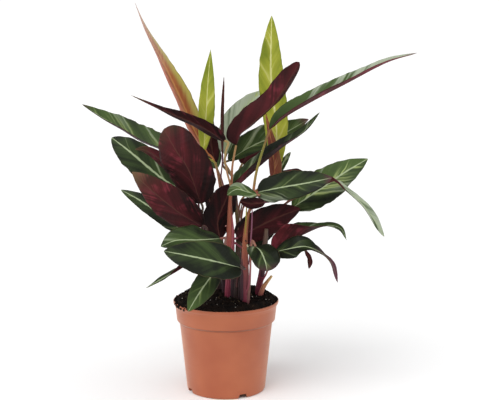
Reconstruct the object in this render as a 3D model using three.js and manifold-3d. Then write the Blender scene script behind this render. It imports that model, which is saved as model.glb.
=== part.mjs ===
// Potted prayer plant: a thin moulded nursery pot, its mound of potting soil, the leafy
// shoots that stand in the soil, and their leaves with a green face and a burgundy back.
// Millimetres, +Z up. The origin is the middle of the pot's foot, on the ground, and -Y is
// the front of the plant. x runs to the right, y away from the front.
import * as THREE from "three";
import { mergeVertices } from "three/addons/utils/BufferGeometryUtils.js";
import Module from "manifold-3d";

const wasm = await Module();
wasm.setup();

// ---------- driving dimensions ----------
const POT_HEIGHT = 104;
const POT_RIM_RADIUS = 60;
const POT_WALL = 1.2;
const POT_FACETS = 36;
const FLOOR_LIFT = 5; // the floor stands this high, so the pot drains through its foot
const BOSS_RADIUS = 12; // round boss under the middle of the floor
// radius and height along the pot, outside: the foot ring, the wall, the collar
const FOOT_RING = [[40.8, FLOOR_LIFT], [41.2, 0], [43.2, 0], [44.5, 0.8]];
const WALL_FOOT = [45, 3];
const WALL_BEND = [51.5, 66];
const WALL_TOP = [52.6, 76];
const COLLAR_OUTSIDE = [[56, 82], [57.5, 96.5], [POT_RIM_RADIUS, 102.6]];
const RIM_OUTSIDE = [[POT_RIM_RADIUS, POT_HEIGHT - 0.4], [59.6, POT_HEIGHT]];
const RIM_INSIDE = [[58.4, POT_HEIGHT], [57.9, 102.8]];
const COLLAR_INSIDE = [[56.3, 96.8], [54.8, 82.6]];
const FLOOR_RADIUS = 42;
const DRAIN_COUNT = 4;
const DRAIN_HEIGHT = 5.5;
const DRAIN_ANGLE = 15; // width of a drain notch round the foot, degrees
const DRAIN_TAPER = 0.72; // width of its top as a share of its foot
const DRAIN_FIRST_ANGLE = -64; // direction of the first notch from +X, degrees

const SOIL_GAP = 0.4; // between soil and pot
const SOIL_EDGE_HEIGHT = 103.6; // soil height where it meets the wall
const SOIL_MOUND = 9; // rise of the middle over the edge
const SOIL_MOUND_POWER = 14; // how steeply the soil rises from the edge
const SOIL_MOUND_RADIUS = 57;
const SOIL_FRONT = 0.55; // share of that rise at the front, where the soil is lower
const SOIL_LUMP = 0.7; // height of the lumps
const SOIL_LUMP_TURN = 0.31; // how the lumps wind outwards, radians per millimetre
const SOIL_LUMP_TWIST = 0.17;
const SOIL_LUMP_LIMIT = 54; // no lumps outside this radius
const SOIL_SHOULDER = [54.3, 96]; // radius and height of the soil under the rim
const ROOT_DEPTH = 84; // height of the lower ends of the stems inside the soil
const HOLE_GAP = 0.7; // between a stem and its hole in the soil
const HOLE_HEIGHT = 60; // a hole is cut from under the stem's end to above the soil

const BLADE_MIDDLE = 0.9; // thickness of a leaf along its midrib
const BLADE_EDGE = 0.65; // and at its edge
const BLADE_WAVE = 0.9; // height of the waves along a broad leaf's edge
const SMALL_BLADE_WAVE = 0.4;
const WAVE_TURN = 16.3; // the waves from base to tip, radians
const BLADE_BASE_HALF = 1.1; // least half width at the base of a blade
const BLADE_TIP_HALF = 0.45; // and at its tip
const NARROW_BLADE = 12; // a blade narrower than this has one strip on each side of its midrib
const BASE_ROUND = 2.2; // roundness of a blade's base
const STEM_SIDES = 8;
const STEM_STEP = 16; // length of a facet along a stem
const PETIOLE_STEP = 14;
const PETIOLE_SIDES = 6;
const PETIOLE_FOOT = 1.6; // radius of a leaf stalk where it leaves its shoot
const PETIOLE_RADIUS = 1.15; // and under a broad leaf
const PETIOLE_LEAST = 0.55; // and for a leaf of no width, from where it grows by
const PETIOLE_GROWTH = 0.06; // times the leaf's width
const PETIOLE_EASE = 0.3; // share of its last stretch on which it turns into the midrib
const JOINT_GAP = 0.4; // between the end of a leaf stalk and the blade it carries

// ---------- colours ----------
const GREEN = 0x3d5233;
const BURGUNDY = 0x4c2026;
const YOUNG_GREEN = 0xa7a83c;
const YOUNG_RED = 0xa5683a;
const PINK_STEM = 0xb0695a;
const DARK_STEM = 0x4a3338;
const TERRACOTTA = 0xba6e4e;
const SOIL_BROWN = 0x1e1712;

const part = new THREE.Group();

function add(name, geometry, color, roughness) {
  geometry.computeVertexNormals();
  const material = new THREE.MeshStandardMaterial({ color, roughness, metalness: 0 });
  const mesh = new THREE.Mesh(geometry, material);
  mesh.name = name;
  part.add(mesh);
}

// ---------- solids ----------
function toSolid(geometry) {
  const bare = geometry.clone();
  bare.deleteAttribute("normal");
  bare.deleteAttribute("uv");
  const merged = mergeVertices(bare, 1e-4);
  return new wasm.Manifold(new wasm.Mesh({
    numProp: 3,
    vertProperties: new Float32Array(merged.attributes.position.array),
    triVerts: new Uint32Array(merged.index.array),
  }));
}

function toGeometry(solid) {
  const mesh = solid.getMesh();
  const geometry = new THREE.BufferGeometry();
  geometry.setAttribute("position", new THREE.BufferAttribute(new Float32Array(mesh.vertProperties), 3));
  geometry.setIndex(Array.from(mesh.triVerts));
  return geometry;
}

const vector = ([x, y, z]) => new THREE.Vector3(x, y, z);
const mix = (a, b, t) => a + (b - a) * t;

// the value at t (0 to 1) of evenly spaced numbers
function sample(values, t) {
  const place = Math.min(t, 0.99999) * (values.length - 1);
  const index = Math.floor(place);
  return mix(values[index], values[Math.min(index + 1, values.length - 1)], place - index);
}

// a closed round rod along a smooth path, with its radius changing evenly through the list
function rod(points, radii, sides, steps) {
  const curve = new THREE.CatmullRomCurve3(points, false, "catmullrom", 0.5);
  const frames = curve.computeFrenetFrames(steps, false);
  const vertices = [];
  const faces = [];
  for (let i = 0; i <= steps; i += 1) {
    const centre = curve.getPointAt(i / steps);
    const radius = sample(radii, i / steps);
    for (let j = 0; j < sides; j += 1) {
      const angle = (2 * Math.PI * j) / sides;
      const spoke = frames.normals[i].clone().multiplyScalar(Math.cos(angle) * radius);
      spoke.addScaledVector(frames.binormals[i], Math.sin(angle) * radius);
      vertices.push(centre.x + spoke.x, centre.y + spoke.y, centre.z + spoke.z);
    }
  }
  for (let i = 0; i < steps; i += 1) {
    for (let j = 0; j < sides; j += 1) {
      const a = i * sides + j;
      const b = i * sides + ((j + 1) % sides);
      faces.push(a, b, b + sides, a, b + sides, a + sides);
    }
  }
  for (let j = 1; j < sides - 1; j += 1) {
    const end = steps * sides;
    faces.push(0, j + 1, j, end, end + j, end + j + 1);
  }
  const geometry = new THREE.BufferGeometry();
  geometry.setAttribute("position", new THREE.Float32BufferAttribute(vertices, 3));
  geometry.setIndex(faces);
  return geometry;
}

// ---------- pot ----------
function wallRadius(z) {
  const [[r0, z0], [r1, z1]] = z < WALL_BEND[1] ? [WALL_FOOT, WALL_BEND] : [WALL_BEND, WALL_TOP];
  return mix(r0, r1, (z - z0) / (z1 - z0));
}

function pot() {
  const floorTop = FLOOR_LIFT + POT_WALL;
  const boss = [[0, 0], [BOSS_RADIUS, 0], [BOSS_RADIUS + 1, FLOOR_LIFT]];
  const outside = [
    ...boss, ...FOOT_RING, WALL_FOOT, WALL_BEND, WALL_TOP, ...COLLAR_OUTSIDE, ...RIM_OUTSIDE,
  ];
  const inside = [
    ...RIM_INSIDE, ...COLLAR_INSIDE, [WALL_TOP[0] - POT_WALL, WALL_TOP[1] + 1],
    [WALL_BEND[0] - POT_WALL, WALL_BEND[1]], [wallRadius(8) - POT_WALL, 8],
    [FLOOR_RADIUS, floorTop], [0, floorTop],
  ];
  const profile = [...outside, ...inside].map(([r, z]) => new THREE.Vector2(r, z));
  const turned = new THREE.LatheGeometry(profile, POT_FACETS);
  turned.rotateX(Math.PI / 2);
  let solid = toSolid(turned);

  // the drain notches: wedges with sloped sides cut through the foot ring
  const half = Math.tan(THREE.MathUtils.degToRad(DRAIN_ANGLE / 2)) * WALL_FOOT[0];
  const notch = new THREE.Shape();
  notch.moveTo(-half, -1);
  notch.lineTo(half, -1);
  notch.lineTo(half * DRAIN_TAPER, DRAIN_HEIGHT);
  notch.lineTo(-half * DRAIN_TAPER, DRAIN_HEIGHT);
  notch.closePath();
  for (let i = 0; i < DRAIN_COUNT; i += 1) {
    const depth = 14;
    const cutter = new THREE.ExtrudeGeometry(notch, { depth, bevelEnabled: false });
    cutter.rotateX(Math.PI / 2);
    cutter.translate(0, WALL_FOOT[0] + depth / 2 - 1, 0);
    const angle = DRAIN_FIRST_ANGLE - 90 + (360 / DRAIN_COUNT) * i;
    cutter.rotateZ(THREE.MathUtils.degToRad(angle));
    solid = solid.subtract(toSolid(cutter));
  }
  return toGeometry(solid);
}

// ---------- soil ----------
const SOIL_RINGS = [0, 9, 20, 31, 42, 50, 54, 56.6];
const SOIL_SPOKES = POT_FACETS;

function soilHeight(radius, angle) {
  const mound = SOIL_MOUND * (1 - (radius / SOIL_MOUND_RADIUS) ** SOIL_MOUND_POWER);
  const back = 0.5 + 0.5 * Math.sin(angle);
  const winding = Math.sin(radius * SOIL_LUMP_TURN + 3 * angle);
  const lumps = SOIL_LUMP * winding * Math.cos(5 * angle - radius * SOIL_LUMP_TWIST);
  const height = SOIL_EDGE_HEIGHT + mound * mix(SOIL_FRONT, 1, back);
  return radius > SOIL_LUMP_LIMIT ? height : height + lumps;
}

function soil() {
  const side = [
    SOIL_SHOULDER, [WALL_TOP[0] - POT_WALL, WALL_TOP[1] + 0.5], [wallRadius(60) - POT_WALL, 60],
    [wallRadius(9) - POT_WALL, 9],
  ];
  const floor = FLOOR_LIFT + POT_WALL + SOIL_GAP;
  const vertices = [0, 0, soilHeight(0, 0)];
  const rings = [
    ...SOIL_RINGS.slice(1).map((radius) => (angle) => [radius, soilHeight(radius, angle)]),
    ...side.map(([radius, z]) => () => [radius - SOIL_GAP, z]),
    () => [FLOOR_RADIUS - 2, floor],
  ];
  for (const ring of rings) {
    for (let j = 0; j < SOIL_SPOKES; j += 1) {
      const angle = (2 * Math.PI * j) / SOIL_SPOKES;
      const [radius, z] = ring(angle);
      vertices.push(radius * Math.cos(angle), radius * Math.sin(angle), z);
    }
  }
  const faces = [];
  const bottom = vertices.length / 3;
  vertices.push(0, 0, floor);
  for (let j = 0; j < SOIL_SPOKES; j += 1) {
    const next = (j + 1) % SOIL_SPOKES;
    faces.push(0, 1 + j, 1 + next);
    for (let i = 0; i < rings.length - 1; i += 1) {
      const a = 1 + i * SOIL_SPOKES;
      const b = a + SOIL_SPOKES;
      faces.push(a + j, b + j, b + next, a + j, b + next, a + next);
    }
    const last = 1 + (rings.length - 1) * SOIL_SPOKES;
    faces.push(last + j, bottom, last + next);
  }
  const geometry = new THREE.BufferGeometry();
  geometry.setAttribute("position", new THREE.Float32BufferAttribute(vertices, 3));
  geometry.setIndex(faces);
  return geometry;
}

// ---------- leaf blade ----------
// half width along the blade, 0 at the base and 1 at the tip of its length
function outline(u, { peak = 0.42, base = 0.6, tip = [2, 0.8] }) {
  if (u < peak) return (1 - ((peak - u) / peak) ** BASE_ROUND) ** base;
  return (1 - ((u - peak) / (1 - peak)) ** tip[0]) ** tip[1];
}

// A thin closed blade that follows its midrib. "face" is where the green side looks, in one
// or several directions from base to tip. "fold" lifts the halves off the flat, in degrees,
// all along or from base to tip, and "foldRight" is for the right half where it differs.
function blade(leaf) {
  const curve = new THREE.CatmullRomCurve3(leaf.rib.map(vector), false, "catmullrom", 0.5);
  const along = leaf.rows ?? 7;
  const across = leaf.width < NARROW_BLADE ? 2 : 4;
  const faces = (leaf.face[0].length ? leaf.face : [leaf.face]).map((f) => vector(f).normalize());
  const foldLeft = [leaf.fold ?? 10].flat();
  const foldRight = [leaf.foldRight ?? foldLeft].flat();
  const wave = leaf.width > 20 ? BLADE_WAVE : SMALL_BLADE_WAVE;
  const length = curve.getLength();
  const upper = [];
  const lower = [];
  for (let i = 0; i <= along; i += 1) {
    const u = i / along;
    const t = mix(JOINT_GAP / length, 1, u);
    const centre = curve.getPointAt(t);
    const tangent = curve.getTangentAt(t);
    const looks = vector(["x", "y", "z"].map((axis) => sample(faces.map((f) => f[axis]), u)));
    const right = new THREE.Vector3().crossVectors(tangent, looks).normalize();
    const up = new THREE.Vector3().crossVectors(right, tangent).normalize();
    const least = u > 0.5 ? BLADE_TIP_HALF : BLADE_BASE_HALF;
    const half = Math.max((leaf.width / 2) * outline(u, leaf), least);
    for (let j = 0; j <= across; j += 1) {
      const v = (2 * j) / across - 1;
      const tilt = THREE.MathUtils.degToRad(sample(v < 0 ? foldLeft : foldRight, u));
      const reach = Math.abs(v) * half;
      const phase = WAVE_TURN * u + (v < 0 ? 0 : 2);
      const ripple = wave * ((2 * half) / leaf.width) * v * v * Math.sin(phase);
      const point = centre.clone().addScaledVector(right, Math.sign(v) * reach * Math.cos(tilt));
      point.addScaledVector(up, reach * Math.sin(tilt) + ripple);
      const thick = mix(BLADE_MIDDLE, BLADE_EDGE, Math.abs(v)) / 2;
      upper.push(point.clone().addScaledVector(up, thick));
      lower.push(point.clone().addScaledVector(up, -thick));
    }
  }
  const cols = across + 1;
  const below = upper.length;
  const index = [];
  for (let i = 0; i < along; i += 1) {
    for (let j = 0; j < across; j += 1) {
      const a = i * cols + j;
      const b = a + cols;
      index.push(a, a + 1, b + 1, a, b + 1, b);
      index.push(below + a, below + b + 1, below + a + 1, below + a, below + b, below + b + 1);
    }
  }
  const rim = [];
  for (let j = 0; j < across; j += 1) rim.push([j, j + 1]);
  for (let i = 0; i < along; i += 1) rim.push([i * cols + across, (i + 1) * cols + across]);
  for (let j = across; j > 0; j -= 1) rim.push([along * cols + j, along * cols + j - 1]);
  for (let i = along; i > 0; i -= 1) rim.push([i * cols, (i - 1) * cols]);
  for (const [a, b] of rim) index.push(a, below + a, below + b, a, below + b, b);
  const geometry = new THREE.BufferGeometry();
  geometry.setFromPoints([...upper, ...lower]);
  geometry.setIndex(index);
  return geometry;
}

// ---------- the shoots ----------
// Each shoot is a bundle of leaf sheaths that stands in the soil: its path above the soil
// and its radii from the soil up. Its leaf stalks leave it one by one.
const SHOOTS = {
  front: {
    root: [2, -3], color: PINK_STEM, radii: [3.3, 4.0, 4.5, 3.5, 2.1, 1.4, 1.2, 1.1],
    path: [[4, -4, 150], [5, -6, 191], [5, -9, 214], [7, -11, 242], [8, -11, 259], [12, -10, 281]],
  },
  right: {
    root: [23, -28], color: PINK_STEM, radii: [4.1, 4.3, 3.6, 2.6, 1.8, 1.6, 1.5, 1.4, 1.3, 1.2],
    path: [[22, -27, 137], [22, -26, 177], [25, -25, 204], [29, -24, 216], [31, -20, 230], [34, -12, 249],
      [39, -6, 267], [49, 4, 297]],
  },
  right_low: {
    root: [37, 2], color: PINK_STEM, radii: [3.8, 3.6, 3.4, 2.6, 1.5],
    path: [[41, 1, 136], [43.5, 2, 161], [47.5, 4, 187]],
  },
  left: {
    root: [-8, 17], color: DARK_STEM, radii: [3.6, 3.4, 3, 2.2],
    path: [[-11, 14, 140], [-13, 8, 168]],
  },
  middle: {
    root: [12, -13], color: DARK_STEM, radii: [3.3, 3.2, 2.6, 2, 1.4],
    path: [[13, -8, 140], [14, 2, 175], [12, 8, 203], [5, 10, 226]],
  },
  back_left: {
    root: [-8, 33], color: PINK_STEM, radii: [3.6, 3.6, 3, 2.2, 1.3],
    path: [[-7, 28, 160], [-5, 18, 220], [-6, 16, 240]],
  },
  back_right: {
    root: [20, 20], color: DARK_STEM, radii: [3.7, 3.6, 3, 2.2],
    path: [[16, 17, 150], [15, 18, 190]],
  },
  back: {
    root: [6, 40], color: PINK_STEM, radii: [3.8, 3.7, 3.2, 2.4],
    path: [[5, 44, 150], [4, 48, 195]],
  },
};
const SOIL_PASS = 114; // a shoot is straight up to this height

function shootPath({ root: [x, y], path }) {
  return [[x, y, ROOT_DEPTH], [x, y, 98], [x, y, SOIL_PASS], ...path];
}

// ---------- the leaves ----------
// rib: the midrib from the base of the blade to its tip, on points chosen along the real leaf.
// from: height on its shoot where the stalk leaves it; via: points that the stalk passes.
const LEAVES = [
  // the left side, from the top down
  { name: "tall_red_left", shoot: "back_left", from: 236, via: [[-14, 16, 262]], color: YOUNG_RED,
    rib: [[-23, 18, 273], [-38, 22, 301], [-49.5, 26, 328], [-71.5, 30, 373], [-89.5, 28, 407.5], [-101.5, 26, 438]],
    width: 27, face: [0.6, 1, 0.1], fold: 26, peak: 0.3, tip: [1.4, 1.5] },
  { name: "upright_yellow_left", shoot: "back_left", from: 232, via: [[-12, 8, 259]], color: YOUNG_GREEN,
    rib: [[-25, 4, 273], [-22, 2, 308], [-19.5, 0, 347], [-16, 2, 386]], width: 19, face: [0.2, -1, 0],
    fold: 14, peak: 0.45, tip: [1.7, 1] },
  { name: "rolled_spike", shoot: "back_left", from: 238, via: [], color: BURGUNDY,
    rib: [[-4, 20, 268], [-4, 22, 312], [-2, 24, 356]], width: 5, face: [0, 1, 0], fold: 35, peak: 0.45 },
  { name: "young_red_left", shoot: "back_left", from: 215, via: [], color: BURGUNDY,
    rib: [[-12, 26, 257], [-17, 30, 282], [-18, 36, 329]],
    width: 16, face: [0.3, 1, 0.1], fold: 14, peak: 0.3, tip: [1.1, 1.1] },
  { name: "narrow_burgundy_left", shoot: "front", from: 234, via: [[1, -14, 256], [0, -14, 272]],
    color: BURGUNDY,
    rib: [[0, -14, 286], [-22, -18, 301], [-47, -18, 312], [-74, -14, 323], [-104, -4, 336]], width: 21,
    face: [[0.25, 0.75, 0.6], [0.2, 0.6, 0.8]], fold: 14, peak: 0.3, base: 0.45, tip: [1.15, 1.15] },
  { name: "big_burgundy_left", shoot: "left", from: 128, via: [[-22, -30, 172], [-25, -46, 204]],
    color: BURGUNDY, rib: [[-25, -52, 222], [-37, -68, 260], [-50, -74, 282], [-64, -56, 303]],
    width: 50, face: [0.2, 1, 0.1], fold: 10, peak: 0.42, base: 0.5, tip: [3.2, 0.5], rows: 9 },
  { name: "upper_green_left", shoot: "back_left", from: 185, via: [[-22, 34, 232]], color: GREEN,
    rib: [[-51.5, 40, 263.5], [-97, 56, 278.5], [-122, 62, 292.5], [-144, 66, 304.5], [-170.5, 70, 322]],
    width: 38, face: [0.1, -0.62, 0.8], fold: [50, 56, 56, 45], foldRight: 34, peak: 0.36,
    tip: [1.7, 0.9], rows: 9 },
  { name: "mid_green_left", shoot: "left", from: 150, via: [[-32, 2, 200]], color: GREEN,
    rib: [[-46, -2, 227], [-74, 0, 245], [-105, 2, 271], [-128, 8, 288]],
    width: 37, face: [0.1, -1, 0.35], fold: 8, peak: 0.5, tip: [2.2, 0.7], rows: 9 },
  { name: "small_burgundy_left", shoot: "left", from: 145, via: [[-27, -11, 198]], color: BURGUNDY,
    rib: [[-41, -22, 239], [-66, -28, 264], [-86, -26, 277], [-98, -28, 278.5]], width: 18,
    face: [0.1, 0.9, 0.5], fold: 14, peak: 0.4 },
  { name: "lower_burgundy_left", shoot: "left", from: 129, via: [[-18, -34, 160], [-20, -50, 185]],
    color: BURGUNDY, rib: [[-23, -60, 199], [-48, -70, 216], [-74, -74, 238], [-98, -64, 258]],
    width: 42, face: [0.2, 1, 0.25], fold: 10, peak: 0.4, tip: [1.7, 0.85], rows: 9 },
  { name: "low_green_left", shoot: "left", from: 132, via: [[-30, -14, 162]], color: GREEN,
    rib: [[-41, -26, 183], [-66, -30, 203], [-92, -28, 221], [-115, -22, 233]],
    width: 21, face: [0.2, -1, 0.5], fold: 14 },
  { name: "bright_green_front", shoot: "left", from: 126, via: [[-4, -24, 142], [-1, -46, 170]],
    color: GREEN, rib: [[-4, -62, 185.5], [-26, -83, 188], [-49, -91, 189], [-65.5, -95, 183.5]],
    width: 42, face: [0, -0.6, 0.8], fold: 8, peak: 0.4 },
  { name: "big_green_front", shoot: "middle", from: 118, via: [[14, -24, 140], [16, -48, 154]],
    color: GREEN, rib: [[17, -72, 156], [-8, -98, 168], [-35, -112, 177], [-61, -112, 182]], width: 40,
    face: [0.05, -1, 0.35], fold: [45, 28, 8, 5], foldRight: 5, peak: 0.38, base: 0.5, tip: [2, 0.75],
    rows: 9 },
  { name: "narrow_low_left", shoot: "left", from: 123, via: [[-22, -20, 148]], color: BURGUNDY,
    rib: [[-32, -36, 161], [-48, -42, 149.5], [-67, -48, 139], [-86, -52, 129]], width: 21,
    face: [[0.3, 0.8, 0.6], [0, -0.6, 0.8]], fold: 20, peak: 0.3, tip: [1.1, 1.1] },
  { name: "hanging_over_rim", shoot: "left", from: 119, via: [[-8, -22, 137]], color: GREEN,
    rib: [[-8, -42, 149], [-20, -57, 136], [-31, -67, 121], [-39, -72, 108]],
    width: 26, face: [0.2, -1, 0.25], fold: 8, peak: 0.4 },
  { name: "burgundy_middle", shoot: "front", from: 140, via: [[-2, -9, 164]], color: BURGUNDY,
    rib: [[-6.5, -11, 175], [-9, -6, 195], [-1.5, -3, 215.5], [8.5, 0.5, 236]], width: 36,
    face: [-0.5, 1, 0.1], fold: 8, peak: 0.4, base: 0.8, tip: [3, 0.6] },
  { name: "dark_sliver_middle", shoot: "left", from: 158, via: [], color: BURGUNDY,
    rib: [[-12, 6, 188], [-17, 4, 213], [-21, 4, 241]],
    width: 14, face: [0.3, 1, 0.1], fold: 12, peak: 0.45 },

  // the top and the right side, from the top down
  { name: "grey_green_top", shoot: "back_right", from: 178, via: [[8, 32, 236]], color: GREEN,
    rib: [[0, 44, 265], [6, 56, 292], [19, 64, 314], [41, 68, 338]],
    width: 32, face: [-0.3, -1, 0.2], fold: 10, foldRight: 48, base: 0.42, tip: [2, 0.8] },
  { name: "tall_yellow_right", shoot: "back_right", from: 165, via: [[16, 22, 212], [34, 32, 224]],
    color: YOUNG_GREEN, rib: [[57, 40, 243], [58, 44, 294], [51.5, 46, 357], [52, 42, 424]],
    width: 31, face: [0, -1, 0.05], fold: 12, peak: 0.52, base: 0.7, tip: [1.9, 0.85], rows: 9 },
  { name: "young_red_right", shoot: "back_right", from: 150, via: [[19, 20, 205], [37, 24, 221]],
    color: YOUNG_RED, rib: [[57, 26, 231], [54, 28, 270], [44.5, 32, 318]],
    width: 17, face: [0.3, 1, 0], fold: 22, peak: 0.3, tip: [1.1, 1.1] },
  { name: "burgundy_top", shoot: "front", from: null, color: BURGUNDY,
    rib: [[12, -10, 281.5], [16, -14, 294], [31, -16, 307.5], [55.5, -16, 330.5], [81.5, -10, 372.5]],
    width: 36, face: [-0.3, 0.95, 0.2], fold: [60, 62, 62, 50, 30], foldRight: [8, 12, 40, 36, 20],
    peak: 0.25, base: 0.5, tip: [2.8, 0.55], rows: 9 },
  { name: "long_green_right", shoot: "right", from: null, color: GREEN,
    rib: [[49.5, 4, 297.5], [66, 6, 311.5], [97, 12, 329], [137, 22, 349], [183, 36, 371.5], [219, 46, 382]],
    width: 27, face: [[0, -0.8, 0.6], [0, -0.7, 0.7]], fold: 14, foldRight: [78, 80, 80, 60], peak: 0.22,
    tip: [1.3, 0.8], rows: 9 },
  { name: "broad_dark_right", shoot: "back_right", from: 184, via: [[9, 46, 232]], color: GREEN,
    rib: [[2, 58, 256], [23, 66, 269], [43, 72, 278], [69, 76, 287.5], [97, 76, 304]], width: 37,
    face: [0.1, -1, 0.25], fold: 4, foldRight: 56, tip: [2, 0.8], rows: 9 },
  { name: "long_folded_right", shoot: "middle", from: null, color: GREEN,
    rib: [[5, 10, 226.5], [18, 10, 238], [39.5, 12, 257], [64, 14, 277], [88, 16, 294], [106, 16, 316]],
    width: 27, face: [-0.3, -0.75, 0.55], fold: 28, foldRight: [86, 86, 86, 80, 50, 30], peak: 0.24,
    base: 0.42, tip: [1.4, 0.8], rows: 9 },
  { name: "sliver_behind_right", shoot: "back_right", from: 175, via: [[22, 34, 212], [42, 46, 228]],
    color: GREEN,
    rib: [[61, 52, 243], [67, 54, 255], [75, 56, 267]],
    width: 9, face: [0, -0.8, 0.6], fold: 12, peak: 0.4 },
  { name: "large_green_right", shoot: "right", from: 234, via: [], color: GREEN,
    rib: [[35.5, -24, 230.5], [62, -36, 237.5], [88, -50, 244], [115, -56, 250.5]], width: 34,
    face: [0.05, -1, 0.5], fold: 8, peak: 0.4, base: 0.38, tip: [2, 0.75], rows: 9 },
  { name: "drooping_green_right", shoot: "right_low", from: 180, via: [[60, 6, 206]], color: GREEN,
    rib: [[74, -8, 220], [100, -22, 239], [118, -34, 245], [132, -38, 234.5], [152, -38, 216.5], [175, -34, 182.5]],
    width: 22,
    face: [[0.2, 0.6, 0.8], [0.4, 0.2, 0.9], [0.62, -0.05, 0.8], [0.8, -0.4, 0.5], [0.7, -0.6, 0.4]],
    fold: 12, peak: 0.66, base: 0.45, tip: [2, 0.8], rows: 11 },
  { name: "striped_green_right", shoot: "right_low", from: 172, via: [[60, 4, 196]], color: GREEN,
    rib: [[75, 2, 209], [102, -4, 228.5], [132, -8, 250], [159, -4, 265.5]], width: 39,
    face: [0, -1, 0.45], fold: 5, peak: 0.45, tip: [1.6, 0.85], rows: 9 },
  { name: "burgundy_right", shoot: "right", from: 140, via: [[23, -12, 160]], color: BURGUNDY,
    rib: [[13, -8, 176], [36.5, -9, 189.5], [61, -12, 202], [84, -10, 210]], width: 37,
    face: [0.1, 1, 0.3], fold: [12, 12, 8, 6], foldRight: 6, peak: 0.4, base: 0.33 },
  { name: "twisted_burgundy_right", shoot: "right_low", from: 124, via: [[46, -12, 148]], color: BURGUNDY,
    rib: [[52, -24, 165], [64, -34, 174], [87, -40, 187.5], [108, -42, 196], [125.5, -40, 193], [133.5, -36, 179]],
    width: 42, face: [[-0.3, 0.1, 1], [-0.3, 0.1, 1], [-0.1, -0.1, 1], [0.5, -0.9, 0.3]],
    fold: [60, 66, 50, 14, 8, 8], foldRight: [88, 85, 60, 24, 10, 8], peak: 0.34, tip: [1, 1.1], rows: 9 },
  { name: "drooping_low_right", shoot: "right_low", from: 118, via: [[47, -20, 142]], color: GREEN,
    rib: [[54, -36, 165.5], [69.5, -50, 172], [86.5, -58, 176], [103, -62, 170.5], [115.5, -60, 157.5], [122.5, -55, 136]],
    width: 28,
    face: [[0, -0.7, 0.7], [0.05, -0.75, 0.65], [0.2, -0.8, 0.6], [0.6, -0.2, 0.75], [0.75, 0, 0.6], [0.8, -0.5, 0.2], [0.6, -0.8, 0.1]],
    fold: 10, peak: 0.32, tip: [1.2, 0.85], rows: 9 },
  { name: "small_hanging_right", shoot: "right_low", from: 150, via: [[64, -10, 166]], color: BURGUNDY,
    rib: [[87.5, -23, 167], [90.5, -24, 162], [94, -24, 154], [93, -24, 144.5]], width: 6.8,
    face: [0.4, 0.75, 0.5], fold: 8, peak: 0.55 },
  { name: "small_green_front", shoot: "right", from: 113, via: [[27, -37, 136]], color: GREEN,
    rib: [[33.5, -46, 174], [39, -60, 171], [43.5, -75, 163], [45.5, -81, 154]], width: 36,
    face: [-0.1, -0.75, 0.75], fold: -10, foldRight: 34, peak: 0.5, base: 0.4, tip: [3, 0.6] },
  { name: "dark_low_middle", shoot: "back_right", from: 128, via: [], color: GREEN,
    rib: [[23, 14, 160.5], [32, 13, 167.5], [43.5, 12, 174], [56, 12, 180]], width: 15,
    face: [0.1, -1, 0.3], fold: 8 },
  { name: "tiny_green_middle", shoot: "right", from: 222, via: [], color: GREEN,
    rib: [[35, -32, 229], [24, -40, 233], [13, -45, 236.5], [2.5, -45, 230.5]],
    width: 17, face: [0.1, -0.8, 0.7], fold: 8, peak: 0.6 },
  { name: "dark_under_middle", shoot: "right", from: 216, via: [], color: BURGUNDY,
    rib: [[44, -33, 221], [35.5, -32, 219.5], [26, -31, 219.5], [16, -31, 222]], width: 15.5,
    face: [0.1, 0.9, 0.4], fold: 6, peak: 0.5, tip: [2, 0.8] },

  // the back, out of sight from the front
  { name: "back_upper_left", shoot: "back", from: 165, via: [[-10, 66, 200]], color: GREEN,
    rib: [[-24, 76, 218], [-48, 92, 240], [-70, 104, 254], [-92, 110, 260]],
    width: 34, face: [-0.2, 0.8, 0.6], fold: 10 },
  { name: "back_low_left", shoot: "back", from: 130, via: [[-6, 60, 150]], color: GREEN,
    rib: [[-18, 72, 162], [-36, 92, 174], [-54, 110, 176], [-70, 122, 168]],
    width: 36, face: [-0.2, 0.6, 0.8], fold: 8 },
  { name: "back_upper_right", shoot: "back", from: 160, via: [[18, 66, 196]], color: GREEN,
    rib: [[32, 76, 212], [56, 92, 226], [80, 106, 232], [104, 114, 226]],
    width: 36, face: [0.2, 0.7, 0.7], fold: 8 },
  { name: "back_low_right", shoot: "back", from: 126, via: [[16, 60, 144]], color: GREEN,
    rib: [[27, 72, 156], [46, 90, 166], [64, 106, 168], [80, 118, 160]],
    width: 30, face: [0.2, 0.6, 0.8], fold: 10 },
  { name: "back_tall_left", shoot: "back", from: 188, via: [[-4, 66, 225]], color: BURGUNDY,
    rib: [[-12, 76, 245], [-22, 90, 268], [-30, 100, 284], [-36, 108, 292]],
    width: 26, face: [-0.2, -0.8, 0.5], fold: 14 },
  { name: "back_tall_right", shoot: "back", from: 192, via: [[12, 68, 232]], color: GREEN,
    rib: [[18, 78, 250], [28, 90, 268], [38, 98, 282], [50, 102, 292]],
    width: 28, face: [0.1, 1, 0.3], fold: 12 },
  { name: "back_middle", shoot: "back", from: 145, via: [[2, 70, 172]], color: GREEN,
    rib: [[-4, 86, 186], [-8, 108, 196], [-10, 128, 194], [-12, 142, 184]],
    width: 30, face: [0, 0.5, 0.9], fold: 10 },
];

// the stalk of a cut leaf, left standing beside the low right shoot
const CUT_STALK = [[37.5, 1, 92], [39, -4, 108], [43, -6, 120], [52, -8, 133]];
const CUT_STALK_RADII = [2.4, 2.9, 2.5, 1.3];

// the point of a shoot's path at a given height
function pointAtHeight(curve, height) {
  const steps = 200;
  for (let i = 0; i <= steps; i += 1) {
    const point = curve.getPointAt(i / steps);
    if (point.z >= height) return point;
  }
  return curve.getPointAt(1);
}

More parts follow.
